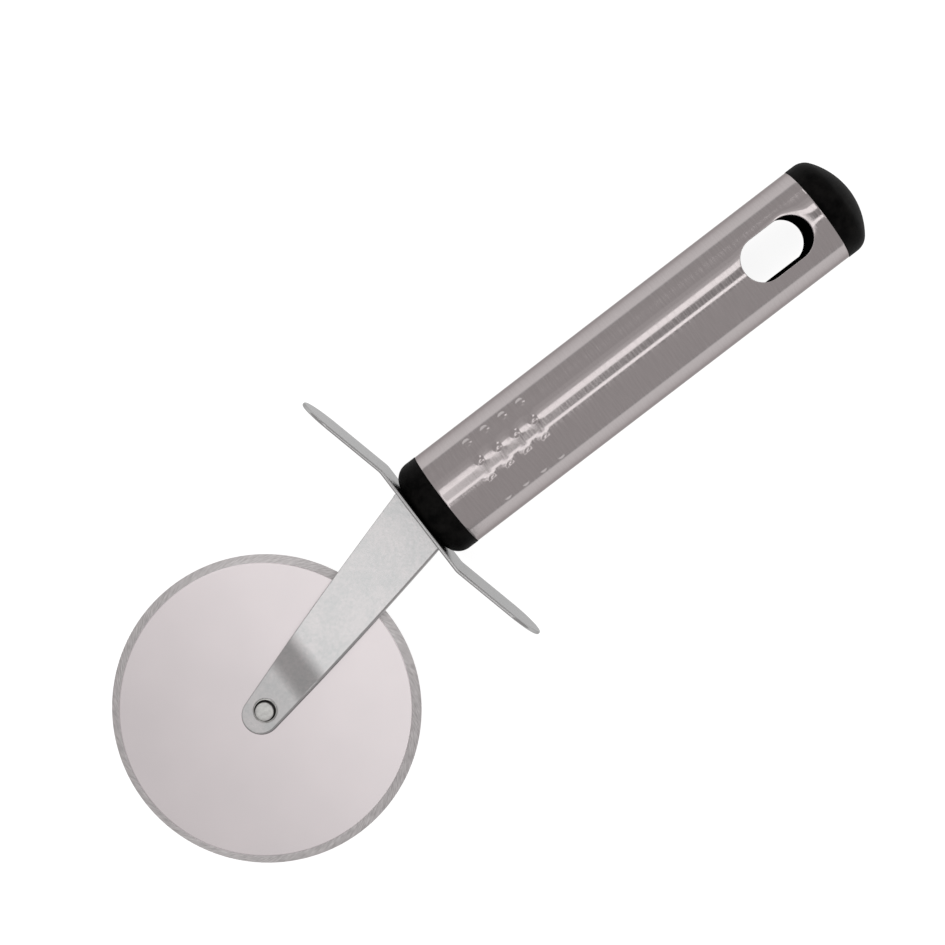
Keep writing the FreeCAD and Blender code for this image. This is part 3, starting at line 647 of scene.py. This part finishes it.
# Rows along the arm, as shares of the way from the joggle to a little before the base
ARM_SHARES, BASE_CLEAR = np.linspace(0.12, 1.0, 9), 0.8
TIP_STEPS = 41
# How far the punch rolled the edges: the crisp ones, and how much more on the strip's low side
CRISP, ROLLED = 0.15, 0.7


def tip_level(x):
    """The rivet squeezes the arms together, so each tip leans a little inwards."""
    return TIP_LEVEL + (x - AXLE[0]) * TIP_LEAN


def yoke_weight(is_outer, first, second):
    """The punch rolls the outer edge over on the low side of the strip."""
    middle = ((first + second) / 2)[:2]
    lean = (middle - ROOT) @ ACROSS
    share = np.clip(0.5 - lean / (2 * TIP_RADIUS), 0, 1)
    return (CRISP + ROLLED * share) if is_outer else CRISP


foot, crest = AXLE[0] + JOG_NEAR, AXLE[0] + JOG_NEAR + JOG_RUN
base = GUARD_FRONT - STRIP / 2
bends = [(foot - TIP_FLAT, tip_level(foot - TIP_FLAT), 0), (foot, tip_level(foot), FOOT_ROUND)]
bends += [(crest, BASE_LEVEL, CREST_ROUND)]
bends += [(crest + (base - BASE_CLEAR - crest) * share, BASE_LEVEL, 0) for share in ARM_SHARES]
bent_line = soften(bends, steps=BEND_STEPS)
rows = []
for (x, z), (nx, nz) in zip(bent_line, bend_normals(bent_line)):
    outward = np.array([nx, 0, nz]) * STRIP / 2
    rows.append((outward, -outward, np.array([x, arm_edge(x, -1), z]), np.array([x, arm_edge(x, 1), z])))
base_low, base_high = np.array([base, arm_edge(base, -1), 0]), np.array([base, arm_edge(base, 1), 0])
up, square = np.array([0, 0, BASE_LEVEL]), np.array([1.0, 0, 1.0])
for turn in np.linspace(0, pi / 2, CORNER_ROWS):
    way = np.array([sin(turn), 0, cos(turn)])
    outward = square * (STRIP / 2 - CORNER_OUT) + way * CORNER_OUT
    inward = square * (-STRIP / 2 - CORNER_IN) + way * CORNER_IN
    rows.append((outward, inward, base_low + up, base_high + up))
flip = np.array([1.0, 1.0, -1.0])
mirrored = [tuple(flip * part for part in row) for row in reversed(rows)]
outward = np.array([STRIP / 2, 0, 0])
rows.append((outward, -outward, base_low, base_high))
rows += mirrored
tip = ROOT + ARM * tip_centre
turns = np.linspace(-pi / 2 + tip_turn, pi / 2 - tip_turn, TIP_STEPS)
arc = [tip + TIP_RADIUS * (ARM * cos(turn) + ACROSS * sin(turn)) for turn in turns]
upper_end = [np.array([spot[0], spot[1], tip_level(spot[0])]) for spot in arc]
lower_end = [flip * spot for spot in upper_end]
yoke = bent_strip("yoke_strip", rows, (upper_end, lower_end), yoke_steel, yoke_weight)
hand_over(yoke, "handle", "yoke")
slope = atan((BASE_LEVEL - tip_level(foot)) / JOG_RUN)
print("joggle slope", round(degrees(slope), 1), "degrees")

# %% [markdown]
# ## The guard
# A plate with rounded ends stands square across the handle, one wing bent forwards and the other
# back. It is the same kind of strip as the yoke, only its bends run up and down.

# %% Guard
# The plate's thickness, then its span across the handle, half its height and the length of a rounded end
PLATE = 0.8
GUARD_SPAN, GUARD_HALF, GUARD_END = 68.6, 10.0, 7.2
# The flat between the bends, the angle of the wings and the rounding of the bends
GUARD_FLAT, GUARD_BEND, GUARD_ROUND = 26.0, radians(13.1), 4.4
GUARD_ROLLED, GUARD_STEPS = 0.45, 49
straight = GUARD_SPAN / 2 - GUARD_END


def wing(y):
    """How far forward or back the plate's middle is at a place across the handle, outside its flat."""
    return -np.sign(y) * (abs(y) - GUARD_FLAT / 2) * tan(GUARD_BEND)


bends = [(straight, wing(straight), 0), (GUARD_FLAT / 2, 0, GUARD_ROUND)]
bends += [(-y, -x, radius) for y, x, radius in reversed(bends)]
bent_line = soften(bends, steps=BEND_STEPS)
rows = []
for (y, x), (ny, nx) in zip(bent_line, bend_normals(bent_line)):
    outward = np.array([nx, ny, 0]) * PLATE / 2
    rows.append((outward, -outward, np.array([x, y, -GUARD_HALF]), np.array([x, y, GUARD_HALF])))
turns = np.linspace(-pi / 2, pi / 2, GUARD_STEPS)[1:-1]
ends = []
for side in (1, -1):
    spots = [(side * (straight + GUARD_END * cos(turn)), GUARD_HALF * sin(turn)) for turn in turns]
    ends.append([np.array([wing(y), y, z]) for y, z in spots])
guard = bent_strip("guard_plate", rows, ends, guard_steel, lambda is_outer, first, second: GUARD_ROLLED)
hand_over(guard, "handle", "guard")
print("guard wings end at", round(wing(GUARD_SPAN / 2), 2), "mm before and behind the flat")

# %% [markdown]
# ## The rivet
# The axle rivet's front head stands up like a little post: a flange, a groove, a neck and a flat top
# that the hammer left uneven. It is turned from a drawn line, and groove and neck are painted near black as
# shade.

# %% Rivet
rivet_low, rivet_high = tool_box("axle_rivet")
REAR_FACE, FRONT_FACE = rivet_low[2], rivet_high[2]
TIP_FACE = TIP_LEVEL + STRIP / 2
SHANK, FLANGE = 1.5, 2.65
REAR_RADIUS, REAR_RISE, REAR_ROUND = 2.2, 0.35, 1.5
# Flange, groove and foot of the neck: radius, height over the arm and rounding
FRONT_HEAD = ((FLANGE, 0.0, 0), (2.63, 0.3, 0.1), (2.3, 0.38, 0.05), (2.1, 0.08, 0.05), (2.0, 0.3, 0))
TOP_RADIUS, TOP_ROUND, TOP_RING = 1.98, 0.14, 1.2
# The band of radii that holds groove and neck, and how far below the top their painted shade ends
NECK_BAND, NECK_END = (1.94, 2.26), 0.12
RIVET_STEPS, RIVET_CREASE, ROUND_STEPS, POLE = 96, radians(40), 5, 1e-6
# From the middle of the rear head to the middle of the front face: radius, height and rounding
section = soften([
    (0, REAR_FACE, 0), (REAR_RADIUS, REAR_FACE + REAR_RISE, REAR_ROUND),
    (FLANGE, -TIP_FACE, 0), (SHANK, -TIP_FACE, 0), (SHANK, TIP_FACE, 0),
    *[(radius, TIP_FACE + height, rounding) for radius, height, rounding in FRONT_HEAD],
    (TOP_RADIUS, FRONT_FACE, TOP_ROUND), (TOP_RING, FRONT_FACE, 0), (0, FRONT_FACE, 0),
], ROUND_STEPS)
points, faces, face_materials = [], [], []
counts = [RIVET_STEPS if radius > POLE else 1 for radius, height in section]
starts = np.cumsum([0] + counts)
for (radius, height), count in zip(section, counts):
    for turn in 2 * pi * np.arange(count) / RIVET_STEPS:
        points.append((AXLE[0] + radius * cos(turn), AXLE[1] + radius * sin(turn), height))
for ring in range(len(section) - 1):
    here, beyond = starts[ring], starts[ring + 1]
    radius, height = (section[ring] + section[ring + 1]) / 2
    # Faces of the groove and neck take the second finish, painted near black as shade
    in_neck = NECK_BAND[0] < radius < NECK_BAND[1] and TIP_FACE < height < FRONT_FACE - NECK_END
    for step in range(RIVET_STEPS):
        after = (step + 1) % RIVET_STEPS
        face = [here] if counts[ring] == 1 else [here + step, here + after]
        face += [beyond] if counts[ring + 1] == 1 else [beyond + after, beyond + step]
        faces.append(tuple(int(corner) for corner in face))
        face_materials.append(1 if in_neck else 0)
rivet = new_piece("rivet_post", points, faces, [rivet_steel, rivet_neck_painted_shade], face_materials)
rivet.data.set_sharp_from_angle(angle=RIVET_CREASE)
hand_over(rivet, "handle", "axle_rivet")

# %% [markdown]
# ## The handle tube
# The handle is a drawn tube with a hanging slot punched through both walls, edges slightly broken, and
# sixteen grip dots pressed out from inside. A Boolean would cut the slot, but it leaves long thin faces that
# show as creases in brushed metal. So the wall is a grid of rows along the handle and lines round it, and
# around each slot the grid gives way to rings that run from the grid's edge to the slot's own outline.

# %% Tube: lines of the grid
TUBE_BORE = 10.4
tube_first, tube_last = tool_box("handle_tube")
FRONT, REAR = tube_first[0], tube_last[0]
SLOT_INSET, SLOT_RADIUS, SLOT_RUN = 11.8, 4.8, 3.4
SLOT_X = REAR - SLOT_INSET
# The broken edges of the tube's ends: where their rows lie, and how far the first two drop, as shares
END_ROUND, END_SHARES, END_DROPS = 0.2, np.array([0.0, 0.3, 1.0, 2.5]), (1.0, 0.3)
DOT_FIRST, DOT_PITCH, DOT_TURN, DOT_COUNT = 11.0, 4.6, radians(25.5), 4
# Lines are close together over the dots and the upper slot, in degrees, and wider on the two ways round below
FINE_STEP, FINE_HALF, COARSE_BACK, COARSE_FORTH = 0.6, 87, 86, 19
# Rows are close together over the dots, and fewer before, behind and over the slot
DOT_STEP, DOT_MARGIN, LEAD, LEAD_ROWS, MIDDLE_ROWS, PATCH_ROWS = 0.12, 2.4, 1.0, 5, 24, 36
# The open patch round a slot: before and behind its middle in mm, round it in degrees above and lines below
PATCH_BACK, PATCH_FORTH, PATCH_TURN, PATCH_LINES = 10.4, 10.2, 40.2, 17
fine = np.arange(-FINE_HALF, FINE_HALF + 1) * FINE_STEP
coarse = (360 - 2 * FINE_HALF * FINE_STEP) / (COARSE_BACK + COARSE_FORTH + 1)
back = fine[0] - coarse * np.arange(COARSE_BACK, 0, -1)
forth = fine[-1] + coarse * np.arange(1, COARSE_FORTH + 1)
lines = np.radians(np.concatenate([back, fine, forth]))
LINES = len(lines)
unrolled = np.append(lines, lines[0] + 2 * pi)
dots_from = FRONT + DOT_FIRST - DOT_MARGIN
dots_to = FRONT + DOT_FIRST + (DOT_COUNT - 1) * DOT_PITCH + DOT_MARGIN
patch_from, patch_to = SLOT_X - PATCH_BACK, SLOT_X + PATCH_FORTH
patch_rows = np.linspace(patch_from, patch_to, PATCH_ROWS)
outer_rows = np.concatenate([
    FRONT + END_SHARES * END_ROUND,
    np.linspace(FRONT + LEAD, dots_from, LEAD_ROWS),
    np.arange(dots_from + DOT_STEP, dots_to, DOT_STEP),
    np.linspace(dots_to, patch_from, MIDDLE_ROWS),
    patch_rows[1:],
    REAR - END_SHARES[::-1] * END_ROUND,
])
inner_rows = np.concatenate([[FRONT], patch_rows, [REAR]])
print("tube grid:", len(outer_rows), "rows and", LINES, "lines")

# %% Tube: helpers for the walls
points, faces, corner_map = [], [], []


def tube_point(x, angle, radius):
    """A point from its place along the handle, its angle from the top and its distance from the axis."""
    return (x, radius * sin(angle), radius * cos(angle))


def add_face(corners, map_spots):
    """A face, and where its corners lie on the brushed steel's map."""
    faces.append(tuple(corners))
    corner_map.extend(map_spots)


def wall(rows, radii, patches):
    """A grid of points and faces with patches left open. Returns the loop of each open patch."""
    first = len(points)
    for x, radius in zip(rows, radii):
        points.extend(tube_point(x, angle, radius) for angle in lines)
    open_cells = set()
    loops = []
    for (row0, row1), (line0, line1) in patches:
        open_cells.update((row, line) for row in range(row0, row1) for line in range(line0, line1))
        loop = [(row, line0) for row in range(row0, row1)] + [(row1, line) for line in range(line0, line1)]
        loop += [(row, line1) for row in range(row1, row0, -1)]
        loop += [(row0, line) for line in range(line1, line0, -1)]
        loops.append([(first + row * LINES + line, rows[row], lines[line]) for row, line in loop])
    for row in range(len(rows) - 1):
        here, beyond = first + row * LINES, first + (row + 1) * LINES
        for line in range(LINES):
            if (row, line) in open_cells:
                continue
            after = (line + 1) % LINES
            spots = [(rows[row], unrolled[line]), (rows[row + 1], unrolled[line]),
                     (rows[row + 1], unrolled[line + 1]), (rows[row], unrolled[line + 1])]
            add_face([here + line, beyond + line, beyond + after, here + after],
                     [(x, angle * TUBE_RADIUS) for x, angle in spots])
    return first, loops


def patch_spans(rows):
    """The rows and lines that bound the open patch round each slot."""
    row0, row1 = int(np.argmin(abs(rows - patch_from))), int(np.argmin(abs(rows - patch_to)))
    spans = []
    for shift, reach in ((0.0, PATCH_TURN), (180.0, PATCH_LINES * coarse)):
        sides = [int(np.argmin(abs(np.degrees(lines) + shift - angle))) for angle in (-reach, reach)]
        spans.append(((row0, row1), tuple(sides)))
    return spans


print("open patches:", patch_spans(outer_rows))

# %% Tube: helpers for the slots
# The punch struck a little off the middle of the tube, and drew the wall in round the slot
SLOT_ASIDE = -0.26
DRAWN_IN, DRAWN_REACH, DRAWN_LEAST = 0.2, 1.9, 0.15


def slot_reach(direction, radius):
    """The slot's outline in a direction from its middle, as an offset along and across."""
    along, across = direction / np.linalg.norm(direction)
    if abs(along) * radius <= SLOT_RUN * abs(across):
        far = radius / abs(across)
    else:
        lead = abs(along) * SLOT_RUN
        far = lead + sqrt(lead ** 2 - SLOT_RUN ** 2 + radius ** 2)
    return np.array([along, across]) * far


def ring_of(loop, middle, radius, offset, depth, share, drawn=0.0):
    """Points of one ring about a slot: share 0 is the grid's loop, and 1 is the slot's outline, made
    larger by an offset and sunk by a depth. The punch has also drawn the wall in near the slot, most of all
    towards the tube's open end, where the wall gives way."""
    start, spots = len(points), []
    aside = SLOT_ASIDE * cos(middle)
    for _, x, angle in loop:
        turn = angle - middle
        away = np.array([x - SLOT_X, radius * turn - aside])
        reach = slot_reach(away, SLOT_RADIUS + offset)
        gap = (1 - share) * np.linalg.norm(away - reach)
        give = np.clip(0.5 + reach[0] / (2 * SLOT_RADIUS), DRAWN_LEAST, 1.0)
        sunk = radius - depth - drawn * give * max(0.0, 1 - gap / DRAWN_REACH) ** 2
        target = asin(np.clip((reach[1] + aside) / sunk, -1, 1))
        new_x = x + (SLOT_X + reach[0] - x) * share
        new_turn = turn + (target - turn) * share
        points.append(tube_point(new_x, middle + new_turn, sunk))
        spots.append((new_x, (middle + new_turn) * TUBE_RADIUS))
    return [(start + step, spot) for step, spot in enumerate(spots)]


def join_rings(first, second):
    """Faces between two rings that have the same number of points."""
    for step in range(len(first)):
        after = (step + 1) % len(first)
        quad = [first[step], second[step], second[after], first[after]]
        add_face([corner for corner, spot in quad], [spot for corner, spot in quad])


print("slot", 2 * (SLOT_RUN + SLOT_RADIUS), "by", 2 * SLOT_RADIUS, "mm")

# %% Tube: walls, slots and end faces
SLOT_ROUND, TUBE_CREASE = 0.15, radians(50)
ROUND_TURNS = np.radians((22, 45, 68, 90))
# Rings from the grid to the slot, closer together near the slot
SLOT_RINGS = 16
RING_SHARES = 1 - (1 - np.linspace(0, 1, SLOT_RINGS + 1)[1:]) ** 2
outer_radii = np.full(len(outer_rows), TUBE_RADIUS)
for place, share in enumerate(END_DROPS):
    outer_radii[[place, -1 - place]] = TUBE_RADIUS - share * END_ROUND
outer_first, outer_loops = wall(outer_rows, outer_radii, patch_spans(outer_rows))
inner_first, inner_loops = wall(inner_rows, np.full(len(inner_rows), TUBE_BORE), patch_spans(inner_rows))
for place, middle in enumerate((0.0, -pi)):
    edges = []
    for loop, radius, rounding, drawn in ((outer_loops[place], TUBE_RADIUS, SLOT_ROUND, DRAWN_IN),
                                          (inner_loops[place], TUBE_BORE, 0.0, 0.0)):
        last = [(corner, (x, angle * TUBE_RADIUS)) for corner, x, angle in loop]
        steps = [(rounding, 0.0, share) for share in RING_SHARES]
        if rounding:
            steps += [(rounding * (1 - sin(turn)), rounding * (1 - cos(turn)), 1.0) for turn in ROUND_TURNS]
        for offset, depth, share in steps:
            fresh = ring_of(loop, middle, radius, offset, depth, share, drawn)
            join_rings(last, fresh)
            last = fresh
        edges.append(last)
    join_rings(edges[0], edges[1])
for outer_row, inner_row in ((0, 0), (len(outer_rows) - 1, len(inner_rows) - 1)):
    outer_at, inner_at = outer_first + outer_row * LINES, inner_first + inner_row * LINES
    outer_x, inner_x = outer_rows[outer_row], outer_rows[outer_row] - (TUBE_RADIUS - TUBE_BORE)
    for line in range(LINES):
        after = (line + 1) % LINES
        here_turn, after_turn = unrolled[line] * TUBE_RADIUS, unrolled[line + 1] * TUBE_RADIUS
        add_face([outer_at + line, outer_at + after, inner_at + after, inner_at + line],
                 [(outer_x, here_turn), (outer_x, after_turn), (inner_x, after_turn), (inner_x, here_turn)])
tube = new_piece("tube_wall", points, faces, [tube_steel], corner_map=corner_map)
tube.data.set_sharp_from_angle(angle=TUBE_CREASE)
print("tube wall:", len(tube.data.vertices), "points,", len(tube.data.polygons), "faces")

# %% [markdown]
# ## The grip dots
# Sixteen dots are pressed out of the wall in four rows of four. They repeat by a rule, so Geometry Nodes
# press them: for every point of the wall the tree finds the nearest dot of the grid, and lifts the point
# straight up, the way the press moves, by a smooth bump. On the crown of the handle the wall round a dot is
# pulled up with it, in a low skirt. On the slopes the dots come out lower, and on one more than on the other,
# because the press stood a little aside. The metal stays one sheet, with a soft foot round each dot, which
# loose domes set on the tube wouldn't have.

# %% Tree that presses the dots: inputs
DOT_FOOT, DOT_HIGH, DOT_POWER = 1.1, 0.29, 1.1
SKIRT_FOOT, SKIRT_HIGH, SKIRT_POWER = 2.3, 0.08, 2.0
# The crown ends between these distances from the handle's middle plane
CROWN_FROM, CROWN_TO = 4.2, 5.6
# How much of their height the dots of the first and the last row reach
FIRST_SHARE, LAST_SHARE = 0.45, 0.8
# Points outside this share of the tube's radius are on its outer wall
OUTER_SHARE = 0.985
dot_tree = bpy.data.node_groups.new("press_grip_dots", "GeometryNodeTree")
dot_tree.interface.new_socket("Geometry", in_out="OUTPUT", socket_type="NodeSocketGeometry")
dot_tree.interface.new_socket("Geometry", in_out="INPUT", socket_type="NodeSocketGeometry")
DOT_INPUTS = {
    "Axis": tuple(ORIGIN), "Way": (0.0, 0.0, 1.0), "Wall radius": TUBE_RADIUS * MM,
    "First": (FRONT + DOT_FIRST) * MM, "Pitch": DOT_PITCH * MM, "Turn": DOT_TURN, "Last": DOT_COUNT - 1.0,
    "Foot": DOT_FOOT * MM, "Height": DOT_HIGH * MM, "Power": DOT_POWER,
    "Skirt foot": SKIRT_FOOT * MM, "Skirt height": SKIRT_HIGH * MM, "Skirt power": SKIRT_POWER,
    "Crown from": CROWN_FROM * MM, "Crown to": CROWN_TO * MM,
    "First row share": FIRST_SHARE, "Last row share": LAST_SHARE,
}
for label, value in DOT_INPUTS.items():
    kind = "NodeSocketVector" if isinstance(value, tuple) else "NodeSocketFloat"
    dot_tree.interface.new_socket(label, in_out="INPUT", socket_type=kind)
given = add(dot_tree, "NodeGroupInput").outputs
print("tree", dot_tree.name, "has", len(DOT_INPUTS), "sizes")

# %% Tree that presses the dots: how far the nearest dot is
MATH, VECTOR, RANGE = "ShaderNodeMath", "ShaderNodeVectorMath", "ShaderNodeMapRange"


def nearest(place):
    """The number of the dot nearest to a place, from 0 to the last."""
    number = add(dot_tree, MATH, "ROUND", {0: place})
    number = add(dot_tree, MATH, "MAXIMUM", {0: number, 1: 0.0})
    return add(dot_tree, MATH, "MINIMUM", {0: number, 1: given["Last"]})


spot = add(dot_tree, "GeometryNodeInputPosition")
from_axis = add(dot_tree, VECTOR, "SUBTRACT", {0: spot, 1: given["Axis"]})
parts = add(dot_tree, "ShaderNodeSeparateXYZ", inputs={0: from_axis}).outputs
spoke = add(dot_tree, "ShaderNodeCombineXYZ", inputs={"Y": parts["Y"], "Z": parts["Z"]})
radius = add(dot_tree, VECTOR, "LENGTH", {0: spoke}).outputs["Value"]

# Along the handle: which column is nearest, and how far from it
along = add(dot_tree, MATH, "SUBTRACT", {0: parts["X"], 1: given["First"]})
column = nearest(add(dot_tree, MATH, "DIVIDE", {0: along, 1: given["Pitch"]}))
column_at = add(dot_tree, MATH, "MULTIPLY", {0: column, 1: given["Pitch"]})
along = add(dot_tree, MATH, "SUBTRACT", {0: along, 1: column_at})

# Round the handle: which row is nearest, and how far from it along the wall
angle = add(dot_tree, MATH, "ARCTAN2", {0: parts["Y"], 1: parts["Z"]})
turns = add(dot_tree, MATH, "DIVIDE", {0: angle, 1: given["Turn"]})
middle = add(dot_tree, MATH, "MULTIPLY", {0: given["Last"], 1: 0.5})
turns = add(dot_tree, MATH, "ADD", {0: turns, 1: middle})
around = add(dot_tree, MATH, "SUBTRACT", {0: turns, 1: nearest(turns)})
around = add(dot_tree, MATH, "MULTIPLY", {0: around, 1: given["Turn"]})
around = add(dot_tree, MATH, "MULTIPLY", {0: around, 1: radius})
away = add(dot_tree, "ShaderNodeCombineXYZ", inputs={"X": along, "Y": around})
away = add(dot_tree, VECTOR, "LENGTH", {0: away}).outputs["Value"]
print("nodes so far:", len(dot_tree.nodes))

# %% Tree that presses the dots: how far a point is lifted
def bump(foot, power, high):
    """A smooth bump, as high as given in a dot's middle and zero outside its foot."""
    share = add(dot_tree, MATH, "DIVIDE", {0: away, 1: given[foot]})
    share = add(dot_tree, MATH, "POWER", {0: share, 1: 2.0})
    share = add(dot_tree, MATH, "SUBTRACT", {0: 1.0, 1: share})
    share = add(dot_tree, MATH, "MAXIMUM", {0: share, 1: 0.0})
    share = add(dot_tree, MATH, "POWER", {0: share, 1: given[power]})
    return add(dot_tree, MATH, "MULTIPLY", {0: share, 1: given[high]})


# The crown is 1 and fades to 0 on the slopes, where each of the two outer rows has a share of its own
aside = add(dot_tree, MATH, "ABSOLUTE", {0: parts["Y"]})
crown = add(dot_tree, RANGE, SMOOTH, {
    "Value": aside, "From Min": given["Crown from"], "From Max": given["Crown to"],
    "To Min": 1.0, "To Max": 0.0})
before = add(dot_tree, MATH, "MULTIPLY", {0: given["Crown to"], 1: -1.0})
slope = add(dot_tree, RANGE, inputs={
    "Value": parts["Y"], "From Min": before, "From Max": given["Crown to"],
    "To Min": given["First row share"], "To Max": given["Last row share"]})
pressed_out = add(dot_tree, RANGE, inputs={"Value": crown, "To Min": slope})

# The dot and its skirt together lift the outer wall alone
lift = bump("Foot", "Power", "Height")
lift = add(dot_tree, MATH, "MULTIPLY", {0: lift, 1: pressed_out})
skirt = bump("Skirt foot", "Skirt power", "Skirt height")
skirt = add(dot_tree, MATH, "MULTIPLY", {0: skirt, 1: crown})
lift = add(dot_tree, MATH, "ADD", {0: lift, 1: skirt})
inside = add(dot_tree, MATH, "MULTIPLY", {0: given["Wall radius"], 1: OUTER_SHARE})
outside = add(dot_tree, MATH, "GREATER_THAN", {0: radius, 1: inside})
lift = add(dot_tree, MATH, "MULTIPLY", {0: lift, 1: outside})
offset = add(dot_tree, VECTOR, "SCALE", {0: given["Way"], "Scale": lift})
pressed = add(dot_tree, "GeometryNodeSetPosition", inputs={"Geometry": given["Geometry"], "Offset": offset})
real = add(dot_tree, "GeometryNodeRealizeInstances", inputs={"Geometry": pressed})
coated = add(dot_tree, "GeometryNodeSetMaterial", inputs={"Geometry": real, "Material": tube_steel})
add(dot_tree, "NodeGroupOutput", inputs={"Geometry": coated})
print("tree", dot_tree.name, "has", len(dot_tree.nodes), "nodes")

# %% Press the dots into the tube
press = tube.modifiers.new("press_grip_dots", "NODES")
press.node_group = dot_tree
for item in dot_tree.interface.items_tree:
    if item.in_out == "INPUT" and item.name in DOT_INPUTS:
        press[item.identifier] = DOT_INPUTS[item.name]
bake_modifiers(tube)
hand_over(tube, "handle", "handle_tube")
heights = np.array([hypot(*(np.array(vertex.co) - ORIGIN)[1:]) for vertex in tube.data.vertices])
print("dots stand", round(heights.max() / MM - TUBE_RADIUS, 3), "mm proud")

# %% [markdown]
# ## The end cap
# The cap is one moulding: a dome outside the tube, and a plug inside it whose walls line the hanging slot.
# Its shape is right already, but the dome shines a little and the lining doesn't, and the lining is painted a
# deeper black, as the shade inside the slot. A mask on coordinates could mix the two finishes in one
# material. A copy of the CAD mesh, joined up and with a finish for each face, keeps each material plain, and
# lets the lining follow the hole that the punch left.

# %% End cap
LINING_RADIUS, LINING_PLAY = 4.6, 0.01
SAME_SPOT, NEARLY = 0.001, 0.05
CAP_CREASE = radians(30)
cap_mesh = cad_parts["end_cap"].data.copy()
cap_mesh.name = "cap_dome"
cap_mesh.materials.clear()
for material in (black_plastic, lining_plastic_painted_shade):
    cap_mesh.materials.append(material)
shape = bmesh.new()
shape.from_mesh(cap_mesh)
bmesh.ops.remove_doubles(shape, verts=shape.verts, dist=SAME_SPOT * MM)
# The lining lies flush with the hole in the tube
for vertex in shape.verts:
    x, y, z = (np.array(vertex.co) - ORIGIN) / MM
    near = np.clip(x, SLOT_X - SLOT_RUN, SLOT_X + SLOT_RUN)
    reach = hypot(x - near, y)
    if abs(reach - LINING_RADIUS) < NEARLY:
        grow = (SLOT_RADIUS - LINING_PLAY) / reach
        vertex.co = on_table((near + (x - near) * grow, y * grow + SLOT_ASIDE, z))
dome_from = on_table((REAR - NEARLY, 0, 0))[0]
# Faces inside the tube take the lining, painted a deeper black as the slot's shade
for face in shape.faces:
    face.smooth = True
    face.material_index = 0 if face.calc_center_median().x > dome_from else 1
shape.to_mesh(cap_mesh)
shape.free()
cap_mesh.set_sharp_from_angle(angle=CAP_CREASE)
cap = bpy.data.objects.new("cap_dome", cap_mesh)
bpy.context.scene.collection.objects.link(cap)
hand_over(cap, "handle", "end_cap")
dome_faces = sum(face.material_index == 0 for face in cap_mesh.polygons)
print("dome faces:", dome_faces, "of", len(cap_mesh.polygons))

# %% [markdown]
# ## Pieces that stay as the CAD made them
# The collar and the small parts inside the fork have the right shape already. They only need their finishes.

# %% Finishes on the CAD nodes
FINISHES = {
    "collar": black_plastic, "front_washer": nylon, "rear_washer": nylon, "axle_bush": fastener_zinc,
    "yoke_screw": fastener_zinc, "screw_washer": fastener_zinc, "screw_nut": fastener_zinc,
}
for node, material in FINISHES.items():
    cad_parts[node].material_slots[0].material = material
    print(node, "is", material.name)
